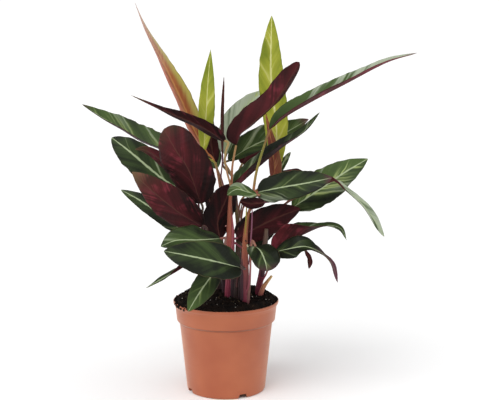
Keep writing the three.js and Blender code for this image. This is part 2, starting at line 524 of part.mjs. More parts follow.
function shootSolid(name, shoot) {
  const path = shootPath(shoot).map(vector);
  const curve = new THREE.CatmullRomCurve3(path, false, "catmullrom", 0.5);
  const radii = [shoot.radii[0], shoot.radii[0], ...shoot.radii];
  const steps = Math.max(8, Math.round(curve.getLength() / STEM_STEP));
  let solid = toSolid(rod(path, radii, STEM_SIDES, steps));
  for (const leaf of LEAVES.filter((one) => one.shoot === name && one.from)) {
    const start = pointAtHeight(curve, leaf.from);
    const base = vector(leaf.rib[0]);
    const ahead = vector(leaf.rib[1]).sub(base).normalize();
    const passed = [start, ...leaf.via.map(vector)];
    const reach = base.distanceTo(passed[passed.length - 1]);
    const turn = base.clone().addScaledVector(ahead, -reach * PETIOLE_EASE);
    const stalkSteps = Math.max(4, Math.round(reach / PETIOLE_STEP) + 2 * leaf.via.length);
    const radius = Math.min(PETIOLE_RADIUS, PETIOLE_GROWTH * leaf.width + PETIOLE_LEAST);
    const stalk = rod(
      [...passed, turn, base], [PETIOLE_FOOT, radius, radius, radius], PETIOLE_SIDES, stalkSteps);
    solid = solid.add(toSolid(stalk));
  }
  if (name === "right_low") {
    solid = solid.add(toSolid(rod(CUT_STALK.map(vector), CUT_STALK_RADII, STEM_SIDES, 6)));
  }
  return solid;
}

// ---------- the assembly ----------
add("pot", pot(), TERRACOTTA, 0.45);

let ground = toSolid(soil());
for (const shoot of Object.values(SHOOTS)) {
  const [x, y] = shoot.root;
  const radius = shoot.radii[0] + HOLE_GAP;
  const hole = new THREE.CylinderGeometry(radius, radius, HOLE_HEIGHT, 12);
  hole.rotateX(Math.PI / 2);
  hole.translate(x, y, ROOT_DEPTH - HOLE_GAP + HOLE_HEIGHT / 2);
  ground = ground.subtract(toSolid(hole));
}
const stalkHoleRadii = CUT_STALK_RADII.map((radius) => radius + HOLE_GAP);
ground = ground.subtract(toSolid(rod(CUT_STALK.map(vector), stalkHoleRadii, STEM_SIDES, 6)));
add("soil", toGeometry(ground), SOIL_BROWN, 0.95);

for (const [name, shoot] of Object.entries(SHOOTS)) {
  add(`stems_${name}`, toGeometry(shootSolid(name, shoot)), shoot.color, 0.5);
}
for (const leaf of LEAVES) {
  add(`leaf_${leaf.name}`, blade(leaf), leaf.color, 0.45);
}

export default part;
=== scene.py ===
# A potted prayer plant: a moulded nursery pot, its potting soil, the leafy shoots that stand
# in it, and their leaves, green above and burgundy below, made in the order of planting.
# Sizes are in millimetres until a mesh is made. The origin is the middle of the pot's foot.
import math

import bpy
import numpy as np
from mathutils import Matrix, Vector, noise


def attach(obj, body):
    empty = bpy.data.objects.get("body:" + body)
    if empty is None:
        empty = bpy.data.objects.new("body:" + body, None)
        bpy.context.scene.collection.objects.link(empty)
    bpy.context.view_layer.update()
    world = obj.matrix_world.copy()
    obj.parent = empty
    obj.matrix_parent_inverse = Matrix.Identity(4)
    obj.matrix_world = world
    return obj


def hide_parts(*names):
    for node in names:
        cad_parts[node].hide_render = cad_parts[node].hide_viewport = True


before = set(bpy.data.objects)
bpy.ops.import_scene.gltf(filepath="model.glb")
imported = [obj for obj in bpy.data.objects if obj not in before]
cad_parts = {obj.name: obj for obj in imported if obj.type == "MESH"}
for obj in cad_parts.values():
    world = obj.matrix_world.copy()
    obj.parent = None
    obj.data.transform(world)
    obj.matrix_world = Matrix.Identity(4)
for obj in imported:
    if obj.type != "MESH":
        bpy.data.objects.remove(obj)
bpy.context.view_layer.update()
MM = 0.001


# ------------------------------------------------------------------------------------------
# The pot. A 12 cm nursery pot of terracotta-coloured polypropylene, injection moulded with
# a thin wall. The flared collar stiffens the rim and lets pots stack, and the four notches
# in the foot ring let water out. The wall's section is turned round the pot's axis.
POT_HEIGHT = 104
POT_WALL = 1.2
POT_FLOOR = 5
POT_SPOKES = 180
POT_OUTSIDE = [
    (12, 0), (13, POT_FLOOR), (40.8, POT_FLOOR), (41.2, 0), (43.2, 0), (44.5, 0.8), (45, 3),
    (51.5, 66), (52.6, 76), (53.1, 79.6), (56, 81.8), (56.9, 90), (57.5, 96.5), (58.6, 99.4),
    (59.9, 101.2), (60, 103.6), (59.6, POT_HEIGHT),
]
POT_INSIDE = [
    (58.4, POT_HEIGHT), (57.9, 102.8), (56.3, 96.8), (54.8, 82.6), (51.4, 77),
    (50.3, 66), (44.3, 8), (42, POT_FLOOR + POT_WALL), (0, POT_FLOOR + POT_WALL),
]
CORNER_EASE = 0.5
FOOT_RING_RADIUS = 44
NOTCH_COUNT = 4
NOTCH_HEIGHT = 5.5
NOTCH_WIDTH = 11.8
NOTCH_DEPTH = 14
NOTCH_FIRST_ANGLE = -64
COLLAR_FOOT = 82
STEP_FROM, STEP_TO = (78.8, 80), (81.6, 82.4)  # where the step's shade comes and goes


def linear(code):
    """The linear colour of an sRGB hex code."""
    parts = [int(code[i:i + 2], 16) / 255 for i in (0, 2, 4)]
    return [p / 12.92 if p <= 0.04045 else ((p + 0.055) / 1.055) ** 2.4 for p in parts] + [1]


def add(tree, kind, *values, **named):
    """Adds a node and gives its first output in use. The kind may have the node's operation or
    type after it. Values go to the sockets in use, in their order. A name with a capital is a
    socket's, and any other is a setting's."""
    kind, _, choice = kind.partition(" ")
    kinds = [start + kind for start in ("ShaderNode", "GeometryNode", "FunctionNode", "")]
    node = tree.nodes.new(next(k for k in kinds if hasattr(bpy.types, k)))
    if choice:
        menus = ("operation", "interpolation_type", "data_type", "rotation_type")
        setattr(node, next(m for m in menus if hasattr(node, m)), choice)
    for name in [n for n in named if n[0].islower()]:
        setattr(node, name, named.pop(name))
    used = [s for s in node.inputs if s.enabled]
    by_name = {s.name.replace(" ", "_"): s for s in used}
    for socket, value in [*zip(used, values), *((by_name[n], v) for n, v in named.items())]:
        if isinstance(value, bpy.types.NodeSocket):
            tree.links.new(value, socket)
        else:
            socket.default_value = value
    return next((s for s in node.outputs if s.enabled), None)


def start_material(name, **sockets):
    """A new material and its shader, with what is the same all over set on its sockets."""
    material = bpy.data.materials.new(name)
    material.use_nodes = True
    shader = material.node_tree.nodes["Principled BSDF"]
    for key, value in sockets.items():
        shader.inputs[key.replace("_", " ")].default_value = value
    return material, material.node_tree, shader


def lead(shader, **sockets):
    """Links what varies over the surface to the shader's sockets."""
    for key, value in sockets.items():
        shader.id_data.links.new(value, shader.inputs[key.replace("_", " ")])


def clouds(tree, where, scale, detail, low, high, most=1):
    """Soft patches about 1000 / scale mm wide, from 0 where the noise is low to the most."""
    cloudy = add(tree, "TexNoise", Vector=where, Scale=scale, Detail=detail)
    return add(tree, "MapRange", cloudy, low, high, 0, most)


def start_tree(name, **inputs):
    """A geometry tree with named inputs, and its group input's sockets by name."""
    tree = bpy.data.node_groups.new(name, "GeometryNodeTree")
    tree.interface.new_socket("Geometry", in_out="INPUT", socket_type="NodeSocketGeometry")
    for key, value in inputs.items():
        kind = {int: "Int", float: "Float", str: "Material"}[type(value)]
        socket = tree.interface.new_socket(
            key.replace("_", " "), in_out="INPUT", socket_type="NodeSocket" + kind)
        if kind != "Material":
            socket.default_value = value
    tree.interface.new_socket("Geometry", in_out="OUTPUT", socket_type="NodeSocketGeometry")
    return tree, tree.nodes.new("NodeGroupInput").outputs


def grow(name, mesh, tree, **inputs):
    """Runs a geometry tree on a mesh once, and gives the result as a plain mesh object."""
    thing = bpy.data.objects.new(name, mesh)
    bpy.context.scene.collection.objects.link(thing)
    modifier = thing.modifiers.new("shape", "NODES")
    modifier.node_group = tree
    for item in tree.interface.items_tree:
        key = item.name.replace(" ", "_")
        if item.in_out == "INPUT" and key in inputs:
            modifier[item.identifier] = inputs[key]
    graph = bpy.context.evaluated_depsgraph_get()
    made = bpy.data.meshes.new_from_object(
        thing.evaluated_get(graph), preserve_all_data_layers=True, depsgraph=graph)
    thing.modifiers.clear()
    thing.data = made
    made.name = name
    return thing


def fit(piece, slot, *nodes):
    """The piece stands on the ground with the rest, and takes the place of its solids."""
    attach(piece, "root")
    if nodes:
        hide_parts(*nodes)


def polyline(name, points, **attributes):
    """A mesh of one or more open lines, given as lists of points, with point attributes."""
    mesh = bpy.data.meshes.new(name)
    flat = [Vector(p) * MM for line in points for p in line]
    edges, first = [], 0
    for line in points:
        edges += [(first + i, first + i + 1) for i in range(len(line) - 1)]
        first += len(line)
    mesh.from_pydata(flat, edges, [])
    for key, values in attributes.items():
        array = np.array(values, np.float32)
        kind = {1: "FLOAT", 3: "FLOAT_VECTOR", 4: "FLOAT_COLOR"}[array[0].size]
        layer = mesh.attributes.new(key, kind, "POINT")
        field = {1: "value", 3: "vector", 4: "color"}[array[0].size]
        layer.data.foreach_set(field, array.ravel())
    return mesh


def eased(corners, ease):
    """A section's line with its corners rounded, as a mould's corners are."""
    line = [Vector((*corners[0], 0))]
    for before, here, after in zip(corners, corners[1:], corners[2:]):
        before, here, after = (Vector((*p, 0)) for p in (before, here, after))
        start = here + (before - here).normalized() * min(ease, (before - here).length * 0.4)
        end = here + (after - here).normalized() * min(ease, (after - here).length * 0.4)
        line += [start.lerp(here, t).lerp(here.lerp(end, t), t) for t in (0, 0.25, 0.5, 0.75, 1)]
    line.append(Vector((*corners[-1], 0)))
    return [(p.x, 0, p.y) for p in line]


pot_tree, given = start_tree(
    "turned pot", Section_points=2, Spokes=8, Notch_count=NOTCH_COUNT,
    Notch_height=NOTCH_HEIGHT * MM, Notch_width=NOTCH_WIDTH * MM, Notch_angle=0.0, Plastic="")
# every point of a sheet is put at its point of the section, turned round the axis
sheet = add(
    pot_tree, "MeshGrid", Size_X=1, Size_Y=1, Vertices_X=given["Spokes"],
    Vertices_Y=given["Section points"])
place = add(pot_tree, "InputPosition")
share = add(pot_tree, "SeparateXYZ", place).node.outputs
last = add(pot_tree, "Math SUBTRACT", given["Section points"], 1)
height = add(pot_tree, "Math ADD", share["Y"], 0.5)
rank = add(pot_tree, "Math MULTIPLY", height, last)
rank = add(pot_tree, "Math ROUND", rank)
section = add(pot_tree, "SampleIndex FLOAT_VECTOR", given["Geometry"], place, rank)
turn = add(pot_tree, "Math MULTIPLY", share["X"], math.tau)
wall = add(pot_tree, "VectorRotate Z_AXIS", section, Angle=turn)
solid = add(pot_tree, "SetPosition", sheet, Position=wall)
solid = add(pot_tree, "MergeByDistance", solid, Distance=1e-6)
# the notches are cut by blocks that narrow towards the top
size = add(
    pot_tree, "CombineXYZ", NOTCH_DEPTH * MM, given["Notch width"], given["Notch height"])
cutter = add(pot_tree, "MeshCube", size)
low = add(pot_tree, "SeparateXYZ", place).node.outputs
slope = add(pot_tree, "Math MULTIPLY_ADD", low["Z"], -52, 0.86)
narrowed = add(pot_tree, "Math MULTIPLY", low["Y"], slope)
wedge = add(pot_tree, "CombineXYZ", low["X"], narrowed, low["Z"])
cutter = add(pot_tree, "SetPosition", cutter, Position=wedge)
ring = add(
    pot_tree, "MeshCircle", Vertices=given["Notch count"], Radius=FOOT_RING_RADIUS * MM)
aim = add(pot_tree, "InputPosition")
aim = add(pot_tree, "AlignRotationToVector", Vector=aim, axis="X")
cutters = add(pot_tree, "InstanceOnPoints", Points=ring, Instance=cutter, Rotation=aim)
cutters = add(pot_tree, "RealizeInstances", cutters)
rise = add(pot_tree, "Math MULTIPLY", given["Notch height"], 0.42)
rise = add(pot_tree, "CombineXYZ", Z=rise)
bearing = add(pot_tree, "CombineXYZ", Z=given["Notch angle"])
cutters = add(pot_tree, "Transform", cutters, Translation=rise, Rotation=bearing)
solid = add(pot_tree, "MeshBoolean DIFFERENCE", Mesh_1=solid, Mesh_2=cutters)
solid = add(pot_tree, "RealizeInstances", solid)
solid = add(pot_tree, "SetMaterial", solid, Material=given["Plastic"])
add(pot_tree, "NodeGroupOutput", solid)

# Injection-moulded polypropylene: satin, a little cloudy, so that its edges look paler and
# its colour drifts by a few per cent. Handling has left hairline scuffs and dusty soil marks.
plastic, tree, shader = start_material(
    "moulded terracotta polypropylene", IOR=1.49, Sheen_Weight=0.6, Sheen_Roughness=0.4,
    Sheen_Tint=linear("f6ceb4"))
where = add(tree, "TexCoord").node.outputs["Object"]
tone = clouds(tree, where, 22, 2, 0.35, 0.65)
base = add(tree, "Mix RGBA", tone, linear("a05232"), linear("ab5d3a"))
altitude = add(tree, "SeparateXYZ", where).node.outputs["Z"]
near_rim = add(tree, "MapRange", altitude, COLLAR_FOOT * MM, POT_HEIGHT * MM)
specks = add(tree, "TexVoronoi", Vector=where, Scale=520, Randomness=1)
specks = add(tree, "MapRange", specks, 0.05, 0.16, 1, 0)
patches = clouds(tree, where, 75, 3, 0.6, 0.72)
dirt = add(tree, "Math MULTIPLY", specks, patches)
dirt = add(tree, "Math MULTIPLY", dirt, near_rim)
base = add(tree, "Mix RGBA", dirt, base, linear("2e1d14"))
# painted shade: the step under the collar gets little light, so its colour is painted darker there
under_collar = add(tree, "MapRange", altitude, *(h * MM for h in STEP_FROM))
over_step = add(tree, "MapRange", altitude, *(h * MM for h in STEP_TO), 0.7, 0)
painted_step_shade = add(tree, "Math MULTIPLY", under_collar, over_step)
base = add(tree, "Mix RGBA", painted_step_shade, base, linear("6a2810"))
scuffs = add(tree, "Mapping", where, Scale=(90, 90, 900))
scuffs = add(tree, "TexNoise", Vector=scuffs, Scale=1, Detail=5)
gloss = add(tree, "MapRange", scuffs, 0.3, 0.7, 0.36, 0.5)
peel = add(tree, "TexNoise", Vector=where, Scale=900, Detail=2)
relief = add(tree, "Bump", Height=peel, Strength=0.08, Distance=0.0002)
lead(shader, Base_Color=base, Roughness=gloss, Normal=relief)

pot_line = eased([(0, 0)] + POT_OUTSIDE + POT_INSIDE, CORNER_EASE)
pot = grow(
    "pot_shell", polyline("pot section", [pot_line]), pot_tree, Section_points=len(pot_line),
    Spokes=POT_SPOKES + 1, Notch_angle=math.radians(NOTCH_FIRST_ANGLE), Plastic=plastic)
fit(pot, "pot_plastic", "pot")


# ------------------------------------------------------------------------------------------
# The potting soil. Damp black peat with bark fibres and a little white perlite, filled to
# the rim and heaped slightly round the shoots. Crumbs have fallen on the rim and collar.
SOIL_EDGE = 103.0
SOIL_RADIUS = 57.2
SOIL_MOUND = 9
MOUND_RADIUS = 57
MOUND_FLATNESS = 14
LUMPS_RADIUS = 54
SOIL_RINGS = 84
SOIL_SPOKES = 210
SOIL_BURIED = [(56.4, 98), (53.7, 83), (50.9, 77), (49.8, 66), (43.9, 9), (40, 6.6)]
LITTER_FROM = 99.5


def soil_height(radius, angle):
    """Height of the soil's surface, without its crumbs."""
    mound = SOIL_MOUND * (1 - min(radius / MOUND_RADIUS, 1) ** MOUND_FLATNESS)
    back = 0.5 + 0.5 * math.sin(angle)
    lumps = 0.7 * math.sin(radius * 0.31 + 3 * angle) * math.cos(5 * angle - radius * 0.17)
    return SOIL_EDGE + mound * (0.55 + 0.45 * back) + (0 if radius > LUMPS_RADIUS else lumps)


def soil_point(radius, angle):
    """A point of the soil's surface, roughened as loose peat is."""
    x, y = radius * math.cos(angle), radius * math.sin(angle)
    coarse = noise.fractal(Vector((x, y, 0)) * 0.16, 1.0, 2.0, 4)
    fine = noise.noise(Vector((x, y, 5)) * 0.9)
    quiet = min(1, (57.4 - radius) / 4)
    return x, y, soil_height(radius, angle) + quiet * (1.5 * coarse + 0.45 * fine)


def disc(name, rings, spokes, closing):
    """A round solid of rings of points, closed at the top and at the bottom."""
    verts = [rings[0](0)]
    for ring in rings[1:]:
        verts += [ring(math.tau * j / spokes) for j in range(spokes)]
    verts.append(closing)
    faces = [(0, 1 + j, 1 + (j + 1) % spokes) for j in range(spokes)]
    for i in range(len(rings) - 2):
        a, b = 1 + i * spokes, 1 + (i + 1) * spokes
        faces += [(a + j, b + j, b + (j + 1) % spokes, a + (j + 1) % spokes)
                  for j in range(spokes)]
    edge, end = 1 + (len(rings) - 2) * spokes, len(verts) - 1
    faces += [(edge + j, end, edge + (j + 1) % spokes) for j in range(spokes)]
    mesh = bpy.data.meshes.new(name)
    mesh.from_pydata([Vector(v) * MM for v in verts], [], faces)
    mesh.shade_smooth()
    return mesh


rings = [lambda a, r=SOIL_RADIUS * (i / SOIL_RINGS) ** 0.9: soil_point(r, a)
         for i in range(SOIL_RINGS + 1)]
rings += [lambda a, r=r, z=z: (r * math.cos(a), r * math.sin(a), z) for r, z in SOIL_BURIED]

# Peat: near black when damp, browner where it has dried, very rough.
peat, tree, shader = start_material(
    "damp peat potting soil", Roughness=0.95, Specular_IOR_Level=0.15)
where = add(tree, "TexCoord").node.outputs["Object"]
damp = clouds(tree, where, 130, 6, 0.35, 0.7)
base = add(tree, "Mix RGBA", damp, linear("090605"), linear("21160f"))
grains = add(tree, "TexVoronoi", Vector=where, Scale=900)
light = add(tree, "MapRange", grains, 0, 0.1, 0.5, 0)
base = add(tree, "Mix RGBA", light, base, linear("4a3628"))
relief = add(tree, "Bump", Height=grains, Strength=0.8, Distance=0.0006)
lead(shader, Base_Color=base, Normal=relief)

# Perlite: a puffed volcanic glass, chalk white and full of pores.
perlite, tree, shader = start_material("white perlite grains", Roughness=0.85)
where = add(tree, "TexCoord").node.outputs["Object"]
pores = add(tree, "TexNoise", Vector=where, Scale=1800, Detail=3)
base = add(tree, "Mix RGBA", pores, linear("a59c8c"), linear("f2eee4"))
relief = add(tree, "Bump", Height=pores, Strength=0.5, Distance=0.0003)
lead(shader, Base_Color=base, Normal=relief)

# Bark fibre: dry strands, straw to brown along their length.
fibre, tree, shader = start_material("dry bark fibre", Roughness=0.8)
where = add(tree, "TexCoord").node.outputs["Object"]
dry = clouds(tree, where, 240, 2, 0.42, 0.62)
base = add(tree, "Mix RGBA", dry, linear("33231a"), linear("8a7350"))
lead(shader, Base_Color=base)

under = (0, 0, SOIL_BURIED[-1][1])
soil = bpy.data.objects.new("soil_mound", disc("soil_mound", rings, SOIL_SPOKES, under))
bpy.context.scene.collection.objects.link(soil)
soil.data.materials.append(peat)
fit(soil, "potting_soil", "soil")

litter_tree, given = start_tree(
    "litter on the soil", Count_per_area=1000.0, Smallest=0.0004, Largest=0.001,
    Stretch=1.0, Roughness_of_shape=0.3, Seed=1, Material="")
where = add(litter_tree, "InputPosition")
level = add(litter_tree, "SeparateXYZ", where).node.outputs["Z"]
on_top = add(litter_tree, "Compare GREATER_THAN", level, LITTER_FROM * MM)
spots = add(
    litter_tree, "DistributePointsOnFaces", Mesh=given["Geometry"], Selection=on_top,
    Density=given["Count per area"], Seed=given["Seed"])
grain = add(litter_tree, "MeshIcoSphere", Radius=1, Subdivisions=1)
spin = add(
    litter_tree, "RandomValue FLOAT_VECTOR", Min=(0, 0, 0), Max=(math.tau,) * 3,
    Seed=given["Seed"])
girth = add(
    litter_tree, "RandomValue", Min=given["Smallest"], Max=given["Largest"], Seed=given["Seed"])
longer = add(litter_tree, "Math MULTIPLY", girth, given["Stretch"])
stretched = add(litter_tree, "CombineXYZ", longer, girth, girth)
grains = add(
    litter_tree, "InstanceOnPoints", Points=spots, Instance=grain, Rotation=spin,
    Scale=stretched)
grains = add(litter_tree, "RealizeInstances", grains)
shake = add(litter_tree, "TexNoise", Vector=where, Scale=900, Detail=1).node
shake = add(litter_tree, "VectorMath SUBTRACT", shake.outputs["Color"], (0.5,) * 3)
amount = add(litter_tree, "Math MULTIPLY", given["Largest"], given["Roughness of shape"])
shake = add(litter_tree, "VectorMath SCALE", shake, amount)
grains = add(litter_tree, "SetPosition", grains, Offset=shake)
grains = add(litter_tree, "SetMaterial", grains, Material=given["Material"])
add(litter_tree, "NodeGroupOutput", grains)

for name, finish, seed, count, smallest, largest, stretch, rough in [
        ("soil_crumbs", peat, 3, 150000.0, 0.35, 1.1, 1.3, 1.6),
        ("soil_clumps", peat, 8, 14000.0, 1.1, 1.9, 1.2, 1.2),
        ("soil_perlite", perlite, 5, 4200.0, 0.3, 0.75, 1.2, 0.6),
        ("soil_fibres", fibre, 7, 9000.0, 0.12, 0.22, 16.0, 2.0)]:
    litter = grow(
        name, soil.data.copy(), litter_tree, Count_per_area=count, Smallest=smallest * MM,
        Largest=largest * MM, Stretch=stretch, Roughness_of_shape=rough, Seed=seed,
        Material=finish)
    fit(litter, "potting_soil")

# crumbs lie all round on the rim, and some have spilled over it at the left: each strip has
# a first angle, a step of so many degrees, and the radius and height of its three edges
STRIP_STEPS = 40
for name, seed, start, step, count, profile in [
        ("soil_on_rim", 12, 0, 9, 210000.0, ((56.2, 103.2), (57.4, 103.9), (58.8, 104.1))),
        ("soil_spilled", 11, 196, 0.8, 240000.0, ((57, 103.6), (59.6, 104.1), (60.3, 100.6)))]:
    turns = [math.radians(start + step * i) for i in range(STRIP_STEPS + 1)]
    rim = bpy.data.meshes.new("rim strip")
    rim.from_pydata(
        [(r * math.cos(a) * MM, r * math.sin(a) * MM, z * MM) for a in turns for r, z in profile],
        [], [(3 * i + k, 3 * i + k + 1, 3 * i + k + 4, 3 * i + k + 3)
             for i in range(STRIP_STEPS) for k in (0, 1)])
    spilled = grow(
        name, rim, litter_tree, Count_per_area=count, Smallest=0.4 * MM, Largest=1.4 * MM,
        Stretch=1.3, Roughness_of_shape=1.2, Seed=seed, Material=peat)
    fit(spilled, "potting_soil")


# ------------------------------------------------------------------------------------------
# The shoots. Each is a bundle of leaf sheaths rolled round each other, pink to grey purple,
# from which the leaf stalks part one by one. A stalk swells to a paler knee under its blade.
# They are grown tissue, ribbed lengthwise, so tubes are swept along the paths they grew.
UPRIGHT = (84, 98, 114)  # heights of a shoot's straight foot, up to just above the soil
SHOOT_POINTS, STALK_POINTS, STRAND_POINTS = 60, 34, 24
STALK_GIRTHS = (1, 0.95, 0.92, 0.92, 0.95, 1.2, 1.1)  # of its usual girth, ending in the knee
STALK_FOOT, THICKEST_STALK = 1.6, 1.15
LINE_UP = 0.3  # share of its last stretch over which a stalk comes in line with its blade
INTO_BLADE = 1.2
RIB_SHIFT = 37  # moves the ribs' pattern on from stalk to stalk, so that no two are alike
SHOOTS = {
    "front": dict(
        slot="stem_pink", root=(2, -3),
        radii=[3.3, 4.0, 4.5, 3.5, 2.1, 1.4, 1.2, 1.1],
        path=[(4, -4, 150), (5, -6, 191), (5, -9, 214), (7, -11, 242), (8, -11, 259),
              (12, -10, 281)],
        tints="963e56 9c4654 a04e4a 9a5242 9c5a44 a66e50 a88458",
        strands=[
            ([(6.5, -6, 140), (8, -7, 172), (8, -9, 190), (7, -10, 204)], [2.2, 2.6, 1.7, 0.4],
             "8a3c50 b05c62"),
            ([(0.4, -7, 189.6), (0.2, -7.2, 190.6)], [0.9, 0.7], "c98a86 c98a86"),
            ([(0.2, -7, 176.8), (0.1, -7.2, 178)], [0.9, 0.7], "c98a86 c98a86")]),
    "right": dict(
        slot="stem_pink", root=(23, -28),
        radii=[4.1, 4.3, 3.6, 2.6, 1.8, 1.6, 1.5, 1.4, 1.3, 1.2],
        path=[(22, -27, 137), (22, -26, 177), (25, -25, 204), (29, -24, 216), (31, -20, 230),
              (34, -12, 249), (39, -6, 267), (49, 4, 297)],
        tints="8c3a4e 7c4048 884840 92523c 925a3c 9a6246 8c7538 7e7c36 98604a",
        strands=[
            ([(26, -28, 150), (28, -28, 173), (29.4, -28, 195), (29.8, -27, 215)],
             [0.6, 0.9, 0.8, 0.6], "7a4252 905c72"),
            ([(21.5, -28, 172), (22.8, -27.5, 196), (23.8, -27, 218)], [0.5, 0.8, 0.7],
             "8a6a38 a0943e"),
            ([(24.5, -33, 98), (27, -32, 130), (28.6, -30, 160)], [1.6, 1.4, 0.7],
             "7a4450 806a48"),
            # painted shade: this strand's tints are darkened for the shade at the shoot's foot
            ([(18.6, -29.5, 110), (18.8, -29, 138), (20, -28, 166)], [2.0, 2.2, 0.4],
             "3a222a 482e34"),
            ([(22.4, -29.6, 178), (23.2, -29.8, 176.4)], [0.9, 0.8], "3a2420 3a2420"),
            ([(24.2, -30, 173), (25.2, -30, 170.2)], [0.8, 0.9], "d0bc9c d8c8a8")]),
    "right_low": dict(
        slot="stem_pink", root=(37, 2),
        radii=[3.8, 3.6, 3.4, 2.6, 1.5],
        path=[(41, 1, 136), (43.5, 2, 161), (47.5, 4, 187)],
        tints="84364a 7c3a48 6e4444 86584c",
        strands=[
            ([(41.5, -6, 132), (43, -12, 160), (44.8, -15, 176), (45.6, -15, 188)],
             [2.2, 3.3, 3.2, 2.2], "4c2c34 60483e")]),
    # painted shade: the left and middle shoots are darkened for the shade among the other shoots
    "left": dict(
        slot="stem_dark", root=(-8, 17),
        radii=[3.6, 3.4, 3, 2.2],
        path=[(-11, 14, 140), (-13, 8, 168)],
        tints="3a262b 42302f 5e3c3c",
        strands=[
            ([(-2, 4, 98), (-3, 5, 132), (-4, 6, 160)], [2.6, 2.2, 0.6], "341e26 38262a")]),
    "middle": dict(
        slot="stem_dark", root=(12, -13),
        radii=[3.3, 3.2, 2.6, 2, 1.4],
        path=[(13, -8, 140), (14, 2, 175), (12, 8, 203), (5, 10, 226)],
        tints="30201f 3c2a28 5c4634 7a6840",
        strands=[
            ([(8, -9, 98), (8.6, -9, 130), (9.4, -8, 156)], [3.1, 2.8, 0.8], "2a1a1f 3c2a30"),
            ([(16, -19, 98), (16.4, -18, 130), (17.4, -18, 162)], [2.6, 2.3, 0.6],
             "301c22 42302f"),
            ([(14, -9, 186), (15.6, -10, 202), (20.4, -10, 222)], [0.7, 0.8, 0.7],
             "5c4438 5c4438")]),
    "back_left": dict(
        slot="stem_pink", root=(-8, 33),
        radii=[3.6, 3.6, 3, 2.2, 1.3],
        path=[(-7, 28, 160), (-5, 18, 220), (-6, 16, 240)],
        tints="4a2e34 5e3a3c 8a5446"),
    "back_right": dict(
        slot="stem_dark", root=(20, 20),
        radii=[3.7, 3.6, 3, 2.2],
        path=[(16, 17, 150), (15, 18, 190)],
        tints="3c282c 4e3434 6e4840"),
    "back": dict(
        slot="stem_pink", root=(6, 40),
        radii=[3.8, 3.7, 3.2, 2.4],
        path=[(5, 44, 150), (4, 48, 195)],
        tints="5c3a40 7a4c4a 9a6a54"),
}
CUT_STALK = [(37.5, 1, 92), (39, -4, 108), (43, -6, 120), (52, -8, 133)]
